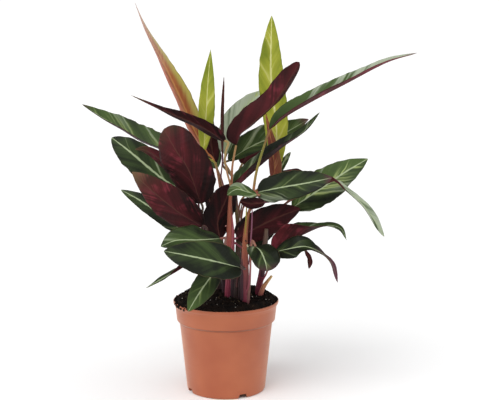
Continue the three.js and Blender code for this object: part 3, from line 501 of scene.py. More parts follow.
# The leaf stalks of each shoot: the height where the stalk parts from it, the points that it
# passes, the blade's base and a point further along its midrib, the blade's width, and the
# stalk's colours at its foot and at the blade.
STALKS = {
    "front": [
        (234, [(1, -14, 256), (0, -14, 272)], (0, -14, 286), (-22, -18, 301), 21, "a87858 a88a5c"),
        (140, [(-2, -9, 164)], (-6.5, -11, 175), (-9, -6, 195), 36, "8a4e50 5a3038"),
    ],
    "right": [
        (234, [], (35.5, -24, 230.5), (62, -36, 237.5), 34, "a06a50 9a5048"),
        (140, [(23, -12, 160)], (13, -8, 176), (36.5, -9, 189.5), 37, "8f4653 7a3c48"),
        (113, [(27, -37, 136)], (33.5, -46, 174), (39, -60, 171), 36, "96505a 9a6a5c"),
        (222, [], (35, -32, 229), (24, -40, 233), 17, "a06a50 9a6a54"),
        (216, [], (44, -33, 221), (35.5, -32, 219.5), 15.5, "7a4048 5a3038"),
    ],
    "right_low": [
        (180, [(60, 6, 206)], (74, -8, 220), (100, -22, 239), 22, "86584c 8a5a50"),
        (172, [(60, 4, 196)], (75, 2, 209), (102, -4, 228.5), 39, "7a5048 7a6a4a"),
        (124, [(46, -12, 148)], (52, -24, 165), (64, -34, 174), 42, "8f4350 b07a64"),
        (118, [(47, -20, 142)], (54, -36, 165.5), (69.5, -50, 172), 28, "8f4350 b8846a"),
        (150, [(64, -10, 166)], (87.5, -23, 167), (90.5, -24, 162), 6.8, "6a3c48 6a3448"),
    ],
    "left": [
        (128, [(-22, -30, 172), (-25, -46, 204)], (-25, -52, 222), (-37, -68, 260), 50,
         "5a3a3c 4c3a30"),
        (150, [(-32, 2, 200)], (-46, -2, 227), (-74, 0, 245), 37, "5a3a3c 5c4a3a"),
        (145, [(-27, -11, 198)], (-41, -22, 239), (-66, -28, 264), 18, "5a3440 5a2c38"),
        (129, [(-18, -34, 160), (-20, -50, 185)], (-23, -60, 199), (-48, -70, 216), 42,
         "5a3a3c 4c3430"),
        (132, [(-30, -14, 162)], (-41, -26, 183), (-66, -30, 203), 21, "5a3a3c 4a4636"),
        (126, [(-4, -24, 142), (-1, -46, 170)], (-4, -62, 185.5), (-26, -83, 188), 42,
         "6a4444 8a5a52"),
        (123, [(-22, -20, 148)], (-32, -36, 161), (-48, -42, 149.5), 21, "5a3440 6a3440"),
        (119, [(-8, -22, 137)], (-8, -42, 149), (-20, -57, 136), 26, "5a3a3c 6a5048"),
        (158, [], (-12, 6, 188), (-17, 4, 213), 14, "5a3a3c 4a2a30"),
    ],
    "middle": [
        (118, [(14, -24, 140), (16, -48, 154)], (17, -72, 156), (-8, -98, 168), 40,
         "6a4444 54403c"),
    ],
    "back_left": [
        (236, [(-14, 16, 262)], (-23, 18, 273), (-38, 22, 301), 27, "9a5f52 b0683f"),
        (232, [(-12, 8, 259)], (-25, 4, 273), (-22, 2, 308), 19, "9a6a4c 9d9440"),
        (238, [], (-4, 20, 268), (-4, 22, 312), 5, "7a4450 5c2a3c"),
        (215, [], (-12, 26, 257), (-17, 30, 282), 16, "9a5a4a a86848"),
        (185, [(-22, 34, 232)], (-51.5, 40, 263.5), (-97, 56, 278.5), 38, "7a4a48 8a5a50"),
    ],
    "back_right": [
        (178, [(8, 32, 236)], (0, 44, 265), (6, 56, 292), 32, "8a5a50 9a7a5c"),
        (165, [(16, 22, 212), (34, 32, 224)], (57, 40, 243), (58, 44, 294), 31, "8a5a4c a8743c"),
        (150, [(19, 20, 205), (37, 24, 221)], (57, 26, 231), (54, 28, 270), 17, "8a5a4c a05a4c"),
        (184, [(9, 46, 232)], (2, 58, 256), (23, 66, 269), 37, "7a5048 6a5a44"),
        (175, [(22, 34, 212), (42, 46, 228)], (61, 52, 243), (67, 54, 255), 9, "7a5048 6a5a44"),
        (128, [], (23, 14, 160.5), (32, 13, 167.5), 15, "5e4040 5c4a3a"),
    ],
    "back": [
        (165, [(-10, 66, 200)], (-24, 76, 218), (-48, 92, 240), 34, "8a5a50 9a6a54"),
        (130, [(-6, 60, 150)], (-18, 72, 162), (-36, 92, 174), 36, "7a4c4a 9a6a54"),
        (160, [(18, 66, 196)], (32, 76, 212), (56, 92, 226), 36, "8a5a50 9a6a54"),
        (126, [(16, 60, 144)], (27, 72, 156), (46, 90, 166), 30, "7a4c4a 9a6a54"),
        (188, [(-4, 66, 225)], (-12, 76, 245), (-22, 90, 268), 26, "8a5a50 8a5048"),
        (192, [(12, 68, 232)], (18, 78, 250), (28, 90, 268), 28, "8a5a50 9a7a54"),
        (145, [(2, 70, 172)], (-4, 86, 186), (-8, 108, 196), 30, "7a4c4a 9a6a54"),
    ],
}


def smooth_path(points, count):
    """Points at even distances on a smooth curve through the given ones, and its directions."""
    pts = np.array(points, float)
    ends = [2 * pts[0] - pts[1], 2 * pts[-1] - pts[-2]]
    pts = np.vstack([ends[0], pts, ends[1]])
    fine = []
    for a, b, c, d in zip(pts, pts[1:], pts[2:], pts[3:]):
        for t in np.arange(0, 1, 1 / 60):
            fine.append(0.5 * (2 * b + (c - a) * t + (2 * a - 5 * b + 4 * c - d) * t * t
                               + (3 * b - a - 3 * c + d) * t ** 3))
    fine = np.array(fine + [pts[-2]])
    travelled = np.concatenate([[0], np.cumsum(np.linalg.norm(np.diff(fine, axis=0), axis=1))])
    wanted = np.linspace(0, travelled[-1], count)
    line = np.stack([np.interp(wanted, travelled, fine[:, i]) for i in range(3)], 1)
    ahead = np.gradient(line, axis=0)
    return line, ahead / np.linalg.norm(ahead, axis=1)[:, None], wanted


def along(values, shares):
    """Evenly spaced values, or a single one, read at shares from 0 to 1."""
    values = np.atleast_1d(np.array(values, float))
    return np.interp(np.clip(shares, 0, 1) * (len(values) - 1), np.arange(len(values)), values)


def along_each(rows, shares):
    """Several rows of values read at shares from 0 to 1, as one table."""
    return np.stack([along(row, shares) for row in rows], 1)


def blend_hex(codes, shares):
    """Evenly spaced hex colours read at shares from 0 to 1, as linear colours."""
    return along_each(zip(*(linear(c) for c in codes.split())), shares)


def tube(points, count, radii, codes, shift=0):
    """A tube's points, and at each its radius, its colour and its place along the ribs."""
    line, _, run = smooth_path(points, count)
    share = run / run[-1]
    return line, along(radii, share), blend_hex(codes, share), run + shift


stem_tree, given = start_tree("swept stems", Sides=12, Skin="")
paths = add(stem_tree, "MeshToCurve", given["Geometry"])
ring = add(stem_tree, "CurvePrimitiveCircle", Resolution=given["Sides"], Radius=1)
spoke = add(stem_tree, "InputPosition")
ring = add(stem_tree, "StoreNamedAttribute FLOAT_VECTOR", ring, Name="around", Value=spoke)
girth = add(stem_tree, "InputNamedAttribute", "girth")
stems = add(stem_tree, "CurveToMesh", paths, ring, Scale=girth, Fill_Caps=True)
stems = add(stem_tree, "SetShadeSmooth", stems)
stems = add(stem_tree, "RealizeInstances", stems)
stems = add(stem_tree, "SetMaterial", stems, Material=given["Skin"])
add(stem_tree, "NodeGroupOutput", stems)

# Living stalk skin: waxy, ribbed lengthwise about every half millimetre, drawn a little
# coarser so that it shows. Its colour goes from pink purple at the soil to salmon and olive.
skin, tree, shader = start_material("waxy pink stalk skin", IOR=1.45, Specular_IOR_Level=0.2)
tint = add(tree, "Attribute", attribute_name="tint")
spokes = add(tree, "Attribute", attribute_name="around").node.outputs["Vector"]
far = add(tree, "Attribute", attribute_name="far").node.outputs["Fac"]
ribs = add(tree, "SeparateXYZ", spokes).node.outputs
ribs = add(tree, "CombineXYZ", ribs["X"], ribs["Y"], far)
ribs = add(tree, "Mapping", ribs, Scale=(1.8, 1.8, 14))
ribs = add(tree, "TexNoise", Vector=ribs, Scale=1, Detail=3)
streak = add(tree, "MapRange", ribs, 0.35, 0.68)
darker = add(tree, "Mix RGBA", 0.35, tint, linear("8a4a50"), blend_type="MULTIPLY")
paler = add(tree, "Mix RGBA", 1, tint, (1.15, 1.4, 1.3, 1), blend_type="MULTIPLY")
base = add(tree, "Mix RGBA", streak, darker, paler)
where = add(tree, "TexCoord").node.outputs["Object"]
spots = clouds(tree, where, 420, 2, 0.6, 0.75, 0.5)
base = add(tree, "Mix RGBA", spots, base, linear("5c2a34"))
gloss = add(tree, "MapRange", ribs, 0, 1, 0.36, 0.56)
relief = add(tree, "Bump", Height=ribs, Strength=0.35, Distance=0.0005)
lead(shader, Base_Color=base, Roughness=gloss, Normal=relief)

for name, shoot in SHOOTS.items():
    spine = [(*shoot["root"], z) for z in UPRIGHT] + shoot["path"]
    radii = [shoot["radii"][0]] * 2 + shoot["radii"]
    line, girth, _, run = tube(spine, SHOOT_POINTS, radii, shoot["tints"])
    shown = (line[:, 2] - POT_HEIGHT) / (line[-1, 2] - POT_HEIGHT)
    tubes = [(line, girth, blend_hex(shoot["tints"], shown), run)]
    for height, via, base, ahead, width, codes in STALKS.get(name, ()):
        start = line[np.argmax(line[:, 2] >= height)]
        base, ahead = np.array(base, float), np.array(ahead, float)
        toward = (ahead - base) / np.linalg.norm(ahead - base)
        reach = np.linalg.norm(base - (via[-1] if via else start))
        points = [start, *via, base - toward * reach * LINE_UP, base + toward * INTO_BLADE]
        low, high = codes.split()
        usual = min(THICKEST_STALK, 0.06 * width + 0.55)
        radii = [STALK_FOOT] + [usual * part for part in STALK_GIRTHS]
        shift = RIB_SHIFT * (len(tubes) + 1)
        tubes.append(tube(points, STALK_POINTS, radii, f"{low} {low} {high} {high}", shift))
    for points, radii, codes in shoot.get("strands", ()):
        tubes.append(tube(points, STRAND_POINTS, radii, codes, RIB_SHIFT * (len(tubes) + 1)))
    if name == "right_low":
        tubes.append(tube(
            CUT_STALK, STRAND_POINTS, [2.4, 2.9, 2.5, 1.3], "8f3f50 a0505a b87858 c49a68"))
    lines, girths, tints, fars = zip(*tubes)
    paths = polyline(
        "shoot paths", lines, girth=np.concatenate(girths) * MM, tint=np.concatenate(tints),
        far=np.concatenate(fars) * MM)
    stems = grow("shoot_" + name, paths, stem_tree, Sides=14, Skin=skin)
    fit(stems, shoot["slot"], "stems_" + name)


# ------------------------------------------------------------------------------------------
# The grown leaves. Thin waxy blades on a raised midrib, green above with pale feathered
# bands along the side veins, burgundy below. The blade is made along its midrib: its halves
# fold up from it, its edge waves, and shallow pleats follow the side veins.
VEIN_SLANT = 1.9
PLEAT_SPACING = 5.2
FINE_VEIN_SPACING = 1.3
RIB_RADIUS = 1.1
EDGE_WAVE_TURN = 16.3
UNEVEN_SPACING = 12.5
BLADE_COLUMNS = 23
COLUMN_CROWDING = 1.35  # above 1 the columns of points stand closer near the midrib
ROW_SPACING = 1.15
FEWEST_ROWS, MOST_ROWS = 44, 150
TIP_HALF_WIDTH, BASE_HALF_WIDTH = 0.2, 0.9

blade, given = start_tree(
    "leaf blade", Rows=2, Columns=BLADE_COLUMNS, Middle_thickness=0.0009,
    Edge_thickness=0.0006, Pleat_spacing=PLEAT_SPACING * MM, Pleat_depth=0.00022,
    Rib_height=0.0008, Unevenness=0.28, Upper_side="", Underside="")
sheet = add(
    blade, "MeshGrid", Size_X=2, Size_Y=1, Vertices_X=given["Columns"],
    Vertices_Y=given["Rows"])
place = add(blade, "InputPosition")
flat = add(blade, "SeparateXYZ", place).node.outputs
share = add(blade, "Math ADD", flat["Y"], 0.5)
last = add(blade, "Math SUBTRACT", given["Rows"], 1)
rank = add(blade, "Math MULTIPLY", share, last)
rank = add(blade, "Math ROUND", rank)
side = add(blade, "Math SIGN", flat["X"])
out = add(blade, "Math ABSOLUTE", flat["X"])
out = add(blade, "Math POWER", out, COLUMN_CROWDING)
read = {}
for key, kind in [("across", "FLOAT_VECTOR"), ("up", "FLOAT_VECTOR"), ("half", "FLOAT"),
                  ("tilt_left", "FLOAT"), ("tilt_right", "FLOAT"), ("wave", "FLOAT"),
                  ("far", "FLOAT"), ("paint", "FLOAT_COLOR"), ("more", "FLOAT_VECTOR")]:
    value = add(blade, "InputNamedAttribute " + kind, key)
    read[key] = add(blade, "SampleIndex " + kind, given["Geometry"], value, rank)
centre = add(blade, "SampleIndex FLOAT_VECTOR", given["Geometry"], place, rank)
is_right = add(blade, "Math GREATER_THAN", flat["X"], 0)
tilt = add(blade, "Mix", is_right, read["tilt_left"], read["tilt_right"])
reach = add(blade, "Math MULTIPLY", out, read["half"])
# the outline is a little uneven, and differs from side to side and from leaf to leaf
mean = add(blade, "Math MULTIPLY", given["Unevenness"], 0.5)
uneven = add(blade, "Math MULTIPLY", read["far"], 1 / (UNEVEN_SPACING * MM))
uneven = add(blade, "CombineXYZ", uneven, side)
uneven = add(blade, "TexNoise", Vector=uneven, Scale=1, Detail=2)
uneven = add(blade, "Math MULTIPLY_ADD", uneven, given["Unevenness"], 1)
uneven = add(blade, "Math SUBTRACT", uneven, mean)
reach = add(blade, "Math MULTIPLY", reach, uneven)
# the halves leave the midrib in a small round instead of a crease
soft = add(blade, "Math MULTIPLY", read["half"], 0.1)
squares = add(blade, "Math MULTIPLY", soft, soft)
squares = add(blade, "Math MULTIPLY_ADD", reach, reach, squares)
rounded = add(blade, "Math SQRT", squares)
rounded = add(blade, "Math SUBTRACT", rounded, soft)
sine = add(blade, "Math SINE", tilt)
cosine = add(blade, "Math COSINE", tilt)
lift = add(blade, "Math MULTIPLY", rounded, sine)
# the edge waves up and down
phase = add(blade, "Math MULTIPLY", is_right, 2)
phase = add(blade, "Math MULTIPLY_ADD", share, EDGE_WAVE_TURN, phase)
wavy = add(blade, "Math SINE", phase)
wavy = add(blade, "Math MULTIPLY", wavy, read["wave"])
edgy = add(blade, "Math POWER", out, 2)
lift = add(blade, "Math MULTIPLY_ADD", wavy, edgy, lift)
# shallow pleats between the side veins, gone at the midrib and at the edge
vein = add(blade, "Math MULTIPLY_ADD", reach, -VEIN_SLANT, read["far"])
vein = add(blade, "Math DIVIDE", vein, given["Pleat spacing"])
vein = add(blade, "Math MULTIPLY", vein, math.tau)
vein = add(blade, "Math COSINE", vein)
humps = add(blade, "Math MULTIPLY", out, math.pi)
humps = add(blade, "Math SINE", humps)
vein = add(blade, "Math MULTIPLY", vein, humps)
lift = add(blade, "Math MULTIPLY_ADD", vein, given["Pleat depth"], lift)
level = add(blade, "Math MULTIPLY", reach, cosine)
level = add(blade, "Math MULTIPLY", level, side)
outward = add(blade, "VectorMath SCALE", read["across"], level)
upward = add(blade, "VectorMath SCALE", read["up"], lift)
point = add(blade, "VectorMath ADD", centre, outward)
point = add(blade, "VectorMath ADD", point, upward)
# what the skins' patterns read
signed = add(blade, "Math MULTIPLY", reach, side)
signed_out = add(blade, "Math MULTIPLY", out, side)
spot = add(blade, "CombineXYZ", read["far"], signed, signed_out)
for name, kind, value in [("share", "FLOAT", share), ("paint", "FLOAT_COLOR", read["paint"]),
                          ("more", "FLOAT_VECTOR", read["more"]), ("spot", "FLOAT_VECTOR", spot)]:
    sheet = add(blade, "StoreNamedAttribute " + kind, sheet, Name="leaf_" + name, Value=value)
# the rim: 0 on the sheet's outer points, where both sides meet, and 1 inside
inner = add(blade, "Math SUBTRACT", 1, out)
inner = add(blade, "Math MULTIPLY", inner, 9)
ended = add(blade, "Math ABSOLUTE", flat["Y"])
ended = add(blade, "Math SUBTRACT", 0.5, ended)
ended = add(blade, "Math MULTIPLY", ended, 30)
inside = add(blade, "Math MINIMUM", inner, ended)
inside = add(blade, "Clamp", inside)
thick = add(blade, "Mix", out, given["Middle thickness"], given["Edge thickness"])
thick = add(blade, "Math MULTIPLY", thick, inside)
thick = add(blade, "Math MULTIPLY", thick, 0.5)
# the midrib stands out below and tapers to the tip
near = add(blade, "Math DIVIDE", reach, RIB_RADIUS * MM)
near = add(blade, "Math POWER", near, 2)
near = add(blade, "Math SUBTRACT", 1, near, use_clamp=True)
taper = add(blade, "Math SUBTRACT", 1, share)
near = add(blade, "Math MULTIPLY", near, taper)
near = add(blade, "Math MULTIPLY", near, inside)
ribbed = add(blade, "Math MULTIPLY_ADD", near, given["Rib height"], thick)
keep = {}
for key, value in [("thick", thick), ("ribbed", ribbed)]:
    sheet = add(blade, "CaptureAttribute", sheet).node
    sheet.capture_items.new("FLOAT", key)
    blade.links.new(value, sheet.inputs[key])
    keep[key] = sheet.outputs[key]
    sheet = sheet.outputs["Geometry"]
sheet = add(blade, "SetPosition", sheet, Position=point)
normal = add(blade, "InputNormal")
above = add(blade, "VectorMath SCALE", normal, keep["thick"])
above = add(blade, "SetPosition", sheet, Offset=above)
above = add(blade, "SetMaterial", above, Material=given["Upper side"])
below = add(blade, "FlipFaces", sheet)
sunk = add(blade, "VectorMath SCALE", normal, keep["ribbed"])
below = add(blade, "SetPosition", below, Offset=sunk)
below = add(blade, "SetMaterial", below, Material=given["Underside"])
both = add(blade, "JoinGeometry")
for half in (below, above):
    blade.links.new(half, both.node.inputs[0])
both = add(blade, "MergeByDistance", both, Distance=2e-6)
both = add(blade, "SetShadeSmooth", both)
both = add(blade, "RealizeInstances", both)
add(blade, "NodeGroupOutput", both)


def leaf_material(name, dark, mid, band, midrib, edge, streak, flush, halves=None, level=0.28,
                  gloss=(0.42, 0.56), blotched=False):
    """Leaf skin. Its pattern follows the blade: feathers along the side veins, the midrib, the
    edge, and a paint of tone, blush, shine and feathers from the leaf's base to its tip."""
    material, tree, shader = start_material(name, IOR=1.42, Specular_IOR_Level=level)
    paint = add(tree, "Attribute", attribute_name="leaf_paint").node.outputs
    parts = add(tree, "SeparateColor", paint["Color"]).node.outputs
    more = add(tree, "Attribute", attribute_name="leaf_more").node.outputs["Vector"]
    more = add(tree, "SeparateXYZ", more).node.outputs
    spot = add(tree, "Attribute", attribute_name="leaf_spot").node.outputs["Vector"]
    spot = add(tree, "SeparateXYZ", spot).node.outputs
    share = add(tree, "Attribute", attribute_name="leaf_share").node.outputs["Fac"]
    where = add(tree, "TexCoord").node.outputs["Object"]
    off = add(tree, "Math ABSOLUTE", spot["Y"])
    out = add(tree, "Math ABSOLUTE", spot["Z"])
    sided = add(tree, "Math SIGN", spot["Y"])
    # distance along the midrib where the side vein through this spot leaves it, and the same
    # moved by a leaf's length for the other half, so that the halves differ
    vein = add(tree, "Math MULTIPLY_ADD", off, -VEIN_SLANT, spot["X"])
    wobble = add(tree, "TexNoise", Vector=where, Scale=60, Detail=2)
    vein = add(tree, "Math MULTIPLY_ADD", wobble, 0.009, vein)
    flow = add(tree, "Math MULTIPLY_ADD", sided, 0.2, vein)
    flow = add(tree, "CombineXYZ", flow, off)
    grains = {}
    for kind, wide, long, detail in [
            ("zone", 22, 60, 1), ("feather", 6, 34, 1.5), ("fleck", 1.6, 18, 2)]:
        grain = add(tree, "Mapping", flow, Scale=(1 / (wide * MM), 1 / (long * MM), 1))
        grains[kind] = add(tree, "TexNoise", Vector=grain, Scale=1, Detail=detail)
    # fine parallel veins, a good millimetre apart
    fine = add(tree, "Math MULTIPLY", vein, math.tau / (FINE_VEIN_SPACING * MM))
    fine = add(tree, "Math SINE", fine)
    mottle = add(tree, "TexNoise", Vector=where, Scale=34, Detail=2)
    # painted light and shade: the first more value lightens one blade half and darkens the other
    tone = add(tree, "Math MULTIPLY_ADD", more["X"], sided, parts["Red"])
    tone = add(tree, "Math SUBTRACT", tone, 1.42)
    for value, amount in [(grains["zone"], 1.5), (grains["feather"], 0.5), (mottle, 1.0),
                          (grains["fleck"], 0.2), (fine, 0.025), (out, -0.3)]:
        tone = add(tree, "Math MULTIPLY_ADD", value, amount, tone)
    tone = add(tree, "Clamp", tone)
    base = add(tree, "Mix RGBA", tone, linear(dark), linear(mid))
    if halves:
        side_tint = add(tree, "MapRange", spot["Z"], -0.2, 0.2)
        side_tint = add(tree, "Mix RGBA", side_tint, linear(halves[0]), linear(halves[1]))
        reach = add(tree, "Math MULTIPLY_ADD", grains["feather"], 0.6, out)
        reach = add(tree, "MapRange SMOOTHSTEP", reach, 0.5, 1.1, 0, 0.85)
        base = add(tree, "Mix RGBA", reach, base, side_tint)
    # patches in the streak colour, more of them where the shine is high: a painted sheen on the
    # green skin, painted light coming through on the burgundy, darker red on the orange
    blotch = grains["zone"]
    if blotched:
        blotch = add(tree, "TexNoise", Vector=where, Scale=62, Detail=2)
    patch = add(tree, "Math MULTIPLY", grains["feather"], 0.4)
    patch = add(tree, "Math MULTIPLY_ADD", blotch, 0.7, patch)
    patch = add(tree, "Math MULTIPLY_ADD", parts["Blue"], 0.15, patch)
    patch = add(tree, "MapRange SMOOTHSTEP", patch, 0.64, 0.84, 0, 0.9)
    base = add(tree, "Mix RGBA", patch, base, linear(streak))
    # pale feathers along the side veins, in some zones only, gone before the edge
    plume = add(tree, "Math MULTIPLY_ADD", paint["Alpha"], 0.12, grains["zone"])
    plume = add(tree, "MapRange SMOOTHSTEP", plume, 0.56, 0.72)
    thin = add(tree, "Math MULTIPLY_ADD", out, -0.16, grains["feather"])
    thin = add(tree, "MapRange SMOOTHSTEP", thin, 0.4, 0.58)
    fade = add(tree, "MapRange", out, 0.1, 0.9, 1, 0)
    for value in (thin, fade, paint["Alpha"]):
        plume = add(tree, "Math MULTIPLY", plume, value)
    base = add(tree, "Mix RGBA", plume, base, linear(band))
    # the midrib's pale line is widest at mid length and frays along the side veins
    belly = add(tree, "Math SUBTRACT", 1, share)
    belly = add(tree, "Math MULTIPLY", belly, share)
    belly = add(tree, "Math MULTIPLY_ADD", belly, 0.0034, 0.0002)
    fray = add(tree, "Math MULTIPLY_ADD", grains["feather"], 1.6, 0.1)
    rib_width = add(tree, "Math MULTIPLY", belly, fray)
    rib_width = add(tree, "Math MULTIPLY", rib_width, more["Y"])
    rib_here = add(tree, "Math DIVIDE", off, rib_width)
    rib_here = add(tree, "MapRange SMOOTHSTEP", rib_here, 0.5, 1.5, 0.9, 0)
    base = add(tree, "Mix RGBA", rib_here, base, linear(midrib))
    blush = add(tree, "Math MULTIPLY", parts["Green"], 0.95)
    base = add(tree, "Mix RGBA", blush, base, linear(flush))
    edge_here = add(tree, "MapRange", out, 0.955, 0.99, 0, 0.6)
    base = add(tree, "Mix RGBA", edge_here, base, linear(edge))
    satin = add(tree, "MapRange", mottle, 0.3, 0.7, gloss[0], gloss[1])
    height = add(tree, "Math MULTIPLY_ADD", fine, 0.2, grains["feather"])
    relief = add(tree, "Bump", Height=height, Strength=0.3, Distance=0.0004)
    lead(shader, Base_Color=base, Roughness=satin, Normal=relief)
    return material


# The upper skin is waxy and satin; a grown leaf is deep green, its bands pale grey green.
green_skin = leaf_material(
    "waxy green leaf", "12180c", "465a2d", "9aa868", "a3b08a", "6a5f40", "a6af9a", "5a2b3c",
    level=0.22)
# The underside is burgundy from a layer of red pigment, and redder where light comes through.
burgundy_skin = leaf_material(
    "burgundy leaf underside", "160a0a", "4c181c", "52222a", "4e2c26", "4a3028", "702833", "6e5a40",
    level=0.15, gloss=(0.5, 0.64), blotched=True)


def outline(share, peak=0.42, base=0.6, tip=(2, 0.8)):
    """Half width along the blade, as a share of the widest."""
    low = (1 - (np.clip(peak - share, 0, peak) / peak) ** 2.2) ** base
    high = (1 - (np.clip(share - peak, 0, 1) / (1 - peak)) ** tip[0]) ** tip[1]
    return np.where(share < peak, low, high)


def leaf(name, rib, width, face, fold=10, fold_right=None, skin=None, slot="leaf_green",
         tone=0.5, blush=0, shine=0, bands=0.6, lean=0, rib_width=1, **form):
    """One leaf blade along its midrib, which stands for the solid of the same name. Its sides
    have one skin, or are green above and burgundy below."""
    length = smooth_path(rib, 2)[2][-1]
    rows = int(min(MOST_ROWS, max(FEWEST_ROWS, length / ROW_SPACING)))
    line, ahead, run = smooth_path(rib, rows)
    share = run / run[-1]
    faces = np.atleast_2d(np.array(face, float))
    faces /= np.linalg.norm(faces, axis=1)[:, None]
    across = np.cross(ahead, along_each(faces.T, share))
    across /= np.linalg.norm(across, axis=1)[:, None]
    up = np.cross(across, ahead)
    least = np.where(share > 0.5, TIP_HALF_WIDTH, BASE_HALF_WIDTH)
    half = np.maximum(width / 2 * outline(share, **form), least)
    wave = 0.9 if width > 20 else 0.4
    left = np.radians(along(fold, share))
    right = left if fold_right is None else np.radians(along(fold_right, share))
    # where its base stands moves the pattern on, so that no two leaves are alike
    far = run + 5 * rib[0][0] + 11 * rib[0][2]
    # the first of the more values lightens one half of the blade and darkens the other: painted
    # light and shade
    mesh = polyline(
        name, [line], across=across, up=up, half=half * MM, tilt_left=left, tilt_right=right,
        wave=wave * 2 * half / width * MM, far=far * MM,
        paint=along_each((tone, blush, shine, bands), share),
        more=along_each((lean, rib_width, 0), share))
    piece = grow(
        "blade_" + name, mesh, blade, Rows=rows, Upper_side=skin or green_skin,
        Underside=skin or burgundy_skin)
    fit(piece, slot, "leaf_" + name)


# the left side, from the top down
leaf("narrow_burgundy_left", [(0, -14, 286), (-22, -18, 301), (-47, -18, 312), (-74, -14, 323),
      (-104, -4, 336)], 21, [(0.25, 0.75, 0.6), (0.2, 0.6, 0.8)], fold=14, peak=0.3, base=0.45,
     tip=(1.15, 1.15), slot="leaf_burgundy", tone=(0.2, 0.4, 0.3, 0.8), shine=(0.1, 0.3, 0.2),
     blush=(0, 0, 0, 0, 0, 0.9))
leaf("rolled_spike", [(-4, 20, 268), (-4, 22, 312), (-2, 24, 356)], 5, (0, 1, 0), fold=35,
     peak=0.45, slot="leaf_burgundy", shine=0.4)
leaf("big_burgundy_left", [(-25, -52, 222), (-37, -68, 260), (-50, -74, 282), (-64, -56, 303)], 50,
     (0.2, 1, 0.1), base=0.5, tip=(3.2, 0.5), slot="leaf_burgundy", tone=(0.1, 0.3, 0.6, 0.5),
     shine=(0, 0.2, 0.45, 0.2), blush=(0, 0, 0, 0, 0, 0.2), rib_width=0.6)
leaf("upper_green_left", [(-51.5, 40, 263.5), (-97, 56, 278.5), (-122, 62, 292.5),
      (-144, 66, 304.5), (-170.5, 70, 322)], 38, (0.1, -0.62, 0.8), fold=(50, 56, 56, 45),
     fold_right=34, peak=0.36, tip=(1.7, 0.9), tone=(0.4, 0.5, 0.6), bands=0.7,
     blush=(0,) * 9 + (0.5,), lean=0.2)
leaf("mid_green_left", [(-46, -2, 227), (-74, 0, 245), (-105, 2, 271), (-128, 8, 288)], 37,
     (0.1, -1, 0.35), fold=8, peak=0.5, tip=(2.2, 0.7), tone=(0.1, 0.2, 0.35), bands=0.25,
     rib_width=1.2)
leaf("small_burgundy_left", [(-41, -22, 239), (-66, -28, 264), (-86, -26, 277), (-98, -28, 278.5)],
     18, (0.1, 0.9, 0.5), fold=14, peak=0.4, slot="leaf_burgundy", tone=(0.3, 0.5, 0.6),
     blush=(0, 0, 0, 0, 0.5), shine=0.3)
leaf("lower_burgundy_left", [(-23, -60, 199), (-48, -70, 216), (-74, -74, 238), (-98, -64, 258)],
     42, (0.2, 1, 0.25), peak=0.4, tip=(1.7, 0.85), slot="leaf_burgundy", tone=(0.1, 0.4, 0.6, 0.6),
     shine=(0, 0.3, 0.7, 0.4), blush=(0, 0, 0, 0, 0.1, 0.9), rib_width=0.6)
leaf("low_green_left", [(-41, -26, 183), (-66, -30, 203), (-92, -28, 221), (-115, -22, 233)], 21,
     (0.2, -1, 0.5), fold=14, tone=(0.2, 0.3, 0.5))
leaf("bright_green_front", [(-4, -62, 185.5), (-26, -83, 188), (-49, -91, 189),
      (-65.5, -95, 183.5)], 42, (0, -0.6, 0.8), fold=8, peak=0.4, tone=(0.2, 0.4, 0.6), bands=0.2,
     rib_width=0.8)
leaf("big_green_front", [(17, -72, 156), (-8, -98, 168), (-35, -112, 177), (-61, -112, 182)], 40,
     (0.05, -1, 0.35), fold=(45, 28, 8, 5), fold_right=5, peak=0.38, base=0.5, tip=(2, 0.75),
     tone=(0, 0.12, 0.2), bands=0.05, rib_width=(0.6, 0.9, 0.8), shine=-1.2)
leaf("narrow_low_left", [(-32, -36, 161), (-48, -42, 149.5), (-67, -48, 139), (-86, -52, 129)], 21,
     [(0.3, 0.8, 0.6), (0, -0.6, 0.8)], fold=20, peak=0.3, tip=(1.1, 1.1), slot="leaf_burgundy")
leaf("hanging_over_rim", [(-8, -42, 149), (-20, -57, 136), (-31, -67, 121), (-39, -72, 108)], 26,
     (0.2, -1, 0.25), fold=8, peak=0.4, tone=(0.1, 0.3, 0.6, 0.9), rib_width=0.8)
leaf("burgundy_middle", [(-6.5, -11, 175), (-9, -6, 195), (-1.5, -3, 215.5), (8.5, 0.5, 236)], 36,
     (-0.5, 1, 0.1), fold=8, peak=0.4, base=0.8, tip=(3, 0.6), slot="leaf_burgundy",
     tone=(0.1, 0.2))
leaf("dark_sliver_middle", [(-12, 6, 188), (-17, 4, 213), (-21, 4, 241)], 14, (0.3, 1, 0.1),
     fold=12, peak=0.45, slot="leaf_burgundy", tone=0.2)

# the top and the right side, from the top down
leaf("grey_green_top", [(0, 44, 265), (6, 56, 292), (19, 64, 314), (41, 68, 338)], 32,
     (-0.3, -1, 0.2), fold_right=48, base=0.42, tone=1, shine=(1.6, 2.4), bands=1.3)
leaf("burgundy_top", [(12, -10, 281.5), (16, -14, 294), (31, -16, 307.5), (55.5, -16, 330.5),
      (81.5, -10, 372.5)], 36, (-0.3, 0.95, 0.2), fold=(60, 62, 62, 50, 30),
     fold_right=(8, 12, 40, 36, 20), peak=0.25, base=0.5, tip=(2.8, 0.55), slot="leaf_burgundy",
     tone=(0.35, 0.6, 0.7), shine=(0.2, 0.3, 0.1), rib_width=0.6)
leaf("long_green_right", [(49.5, 4, 297.5), (66, 6, 311.5), (97, 12, 329), (137, 22, 349),
      (183, 36, 371.5), (219, 46, 382)], 27, [(0, -0.8, 0.6), (0, -0.7, 0.7)], fold=14,
     fold_right=(78, 80, 80, 60), peak=0.22, tip=(1.3, 0.8), tone=1, blush=(0,) * 11 + (1,),
     bands=0.4, shine=(0.2, 0.4, 1.2, 2, 2.3))
leaf("broad_dark_right", [(2, 58, 256), (23, 66, 269), (43, 72, 278), (69, 76, 287.5),
      (97, 76, 304)], 37, (0.1, -1, 0.25), fold=4, fold_right=56, tone=(0.5, 0.7),
     blush=(0,) * 8 + (1,), shine=0.3, bands=0.5)
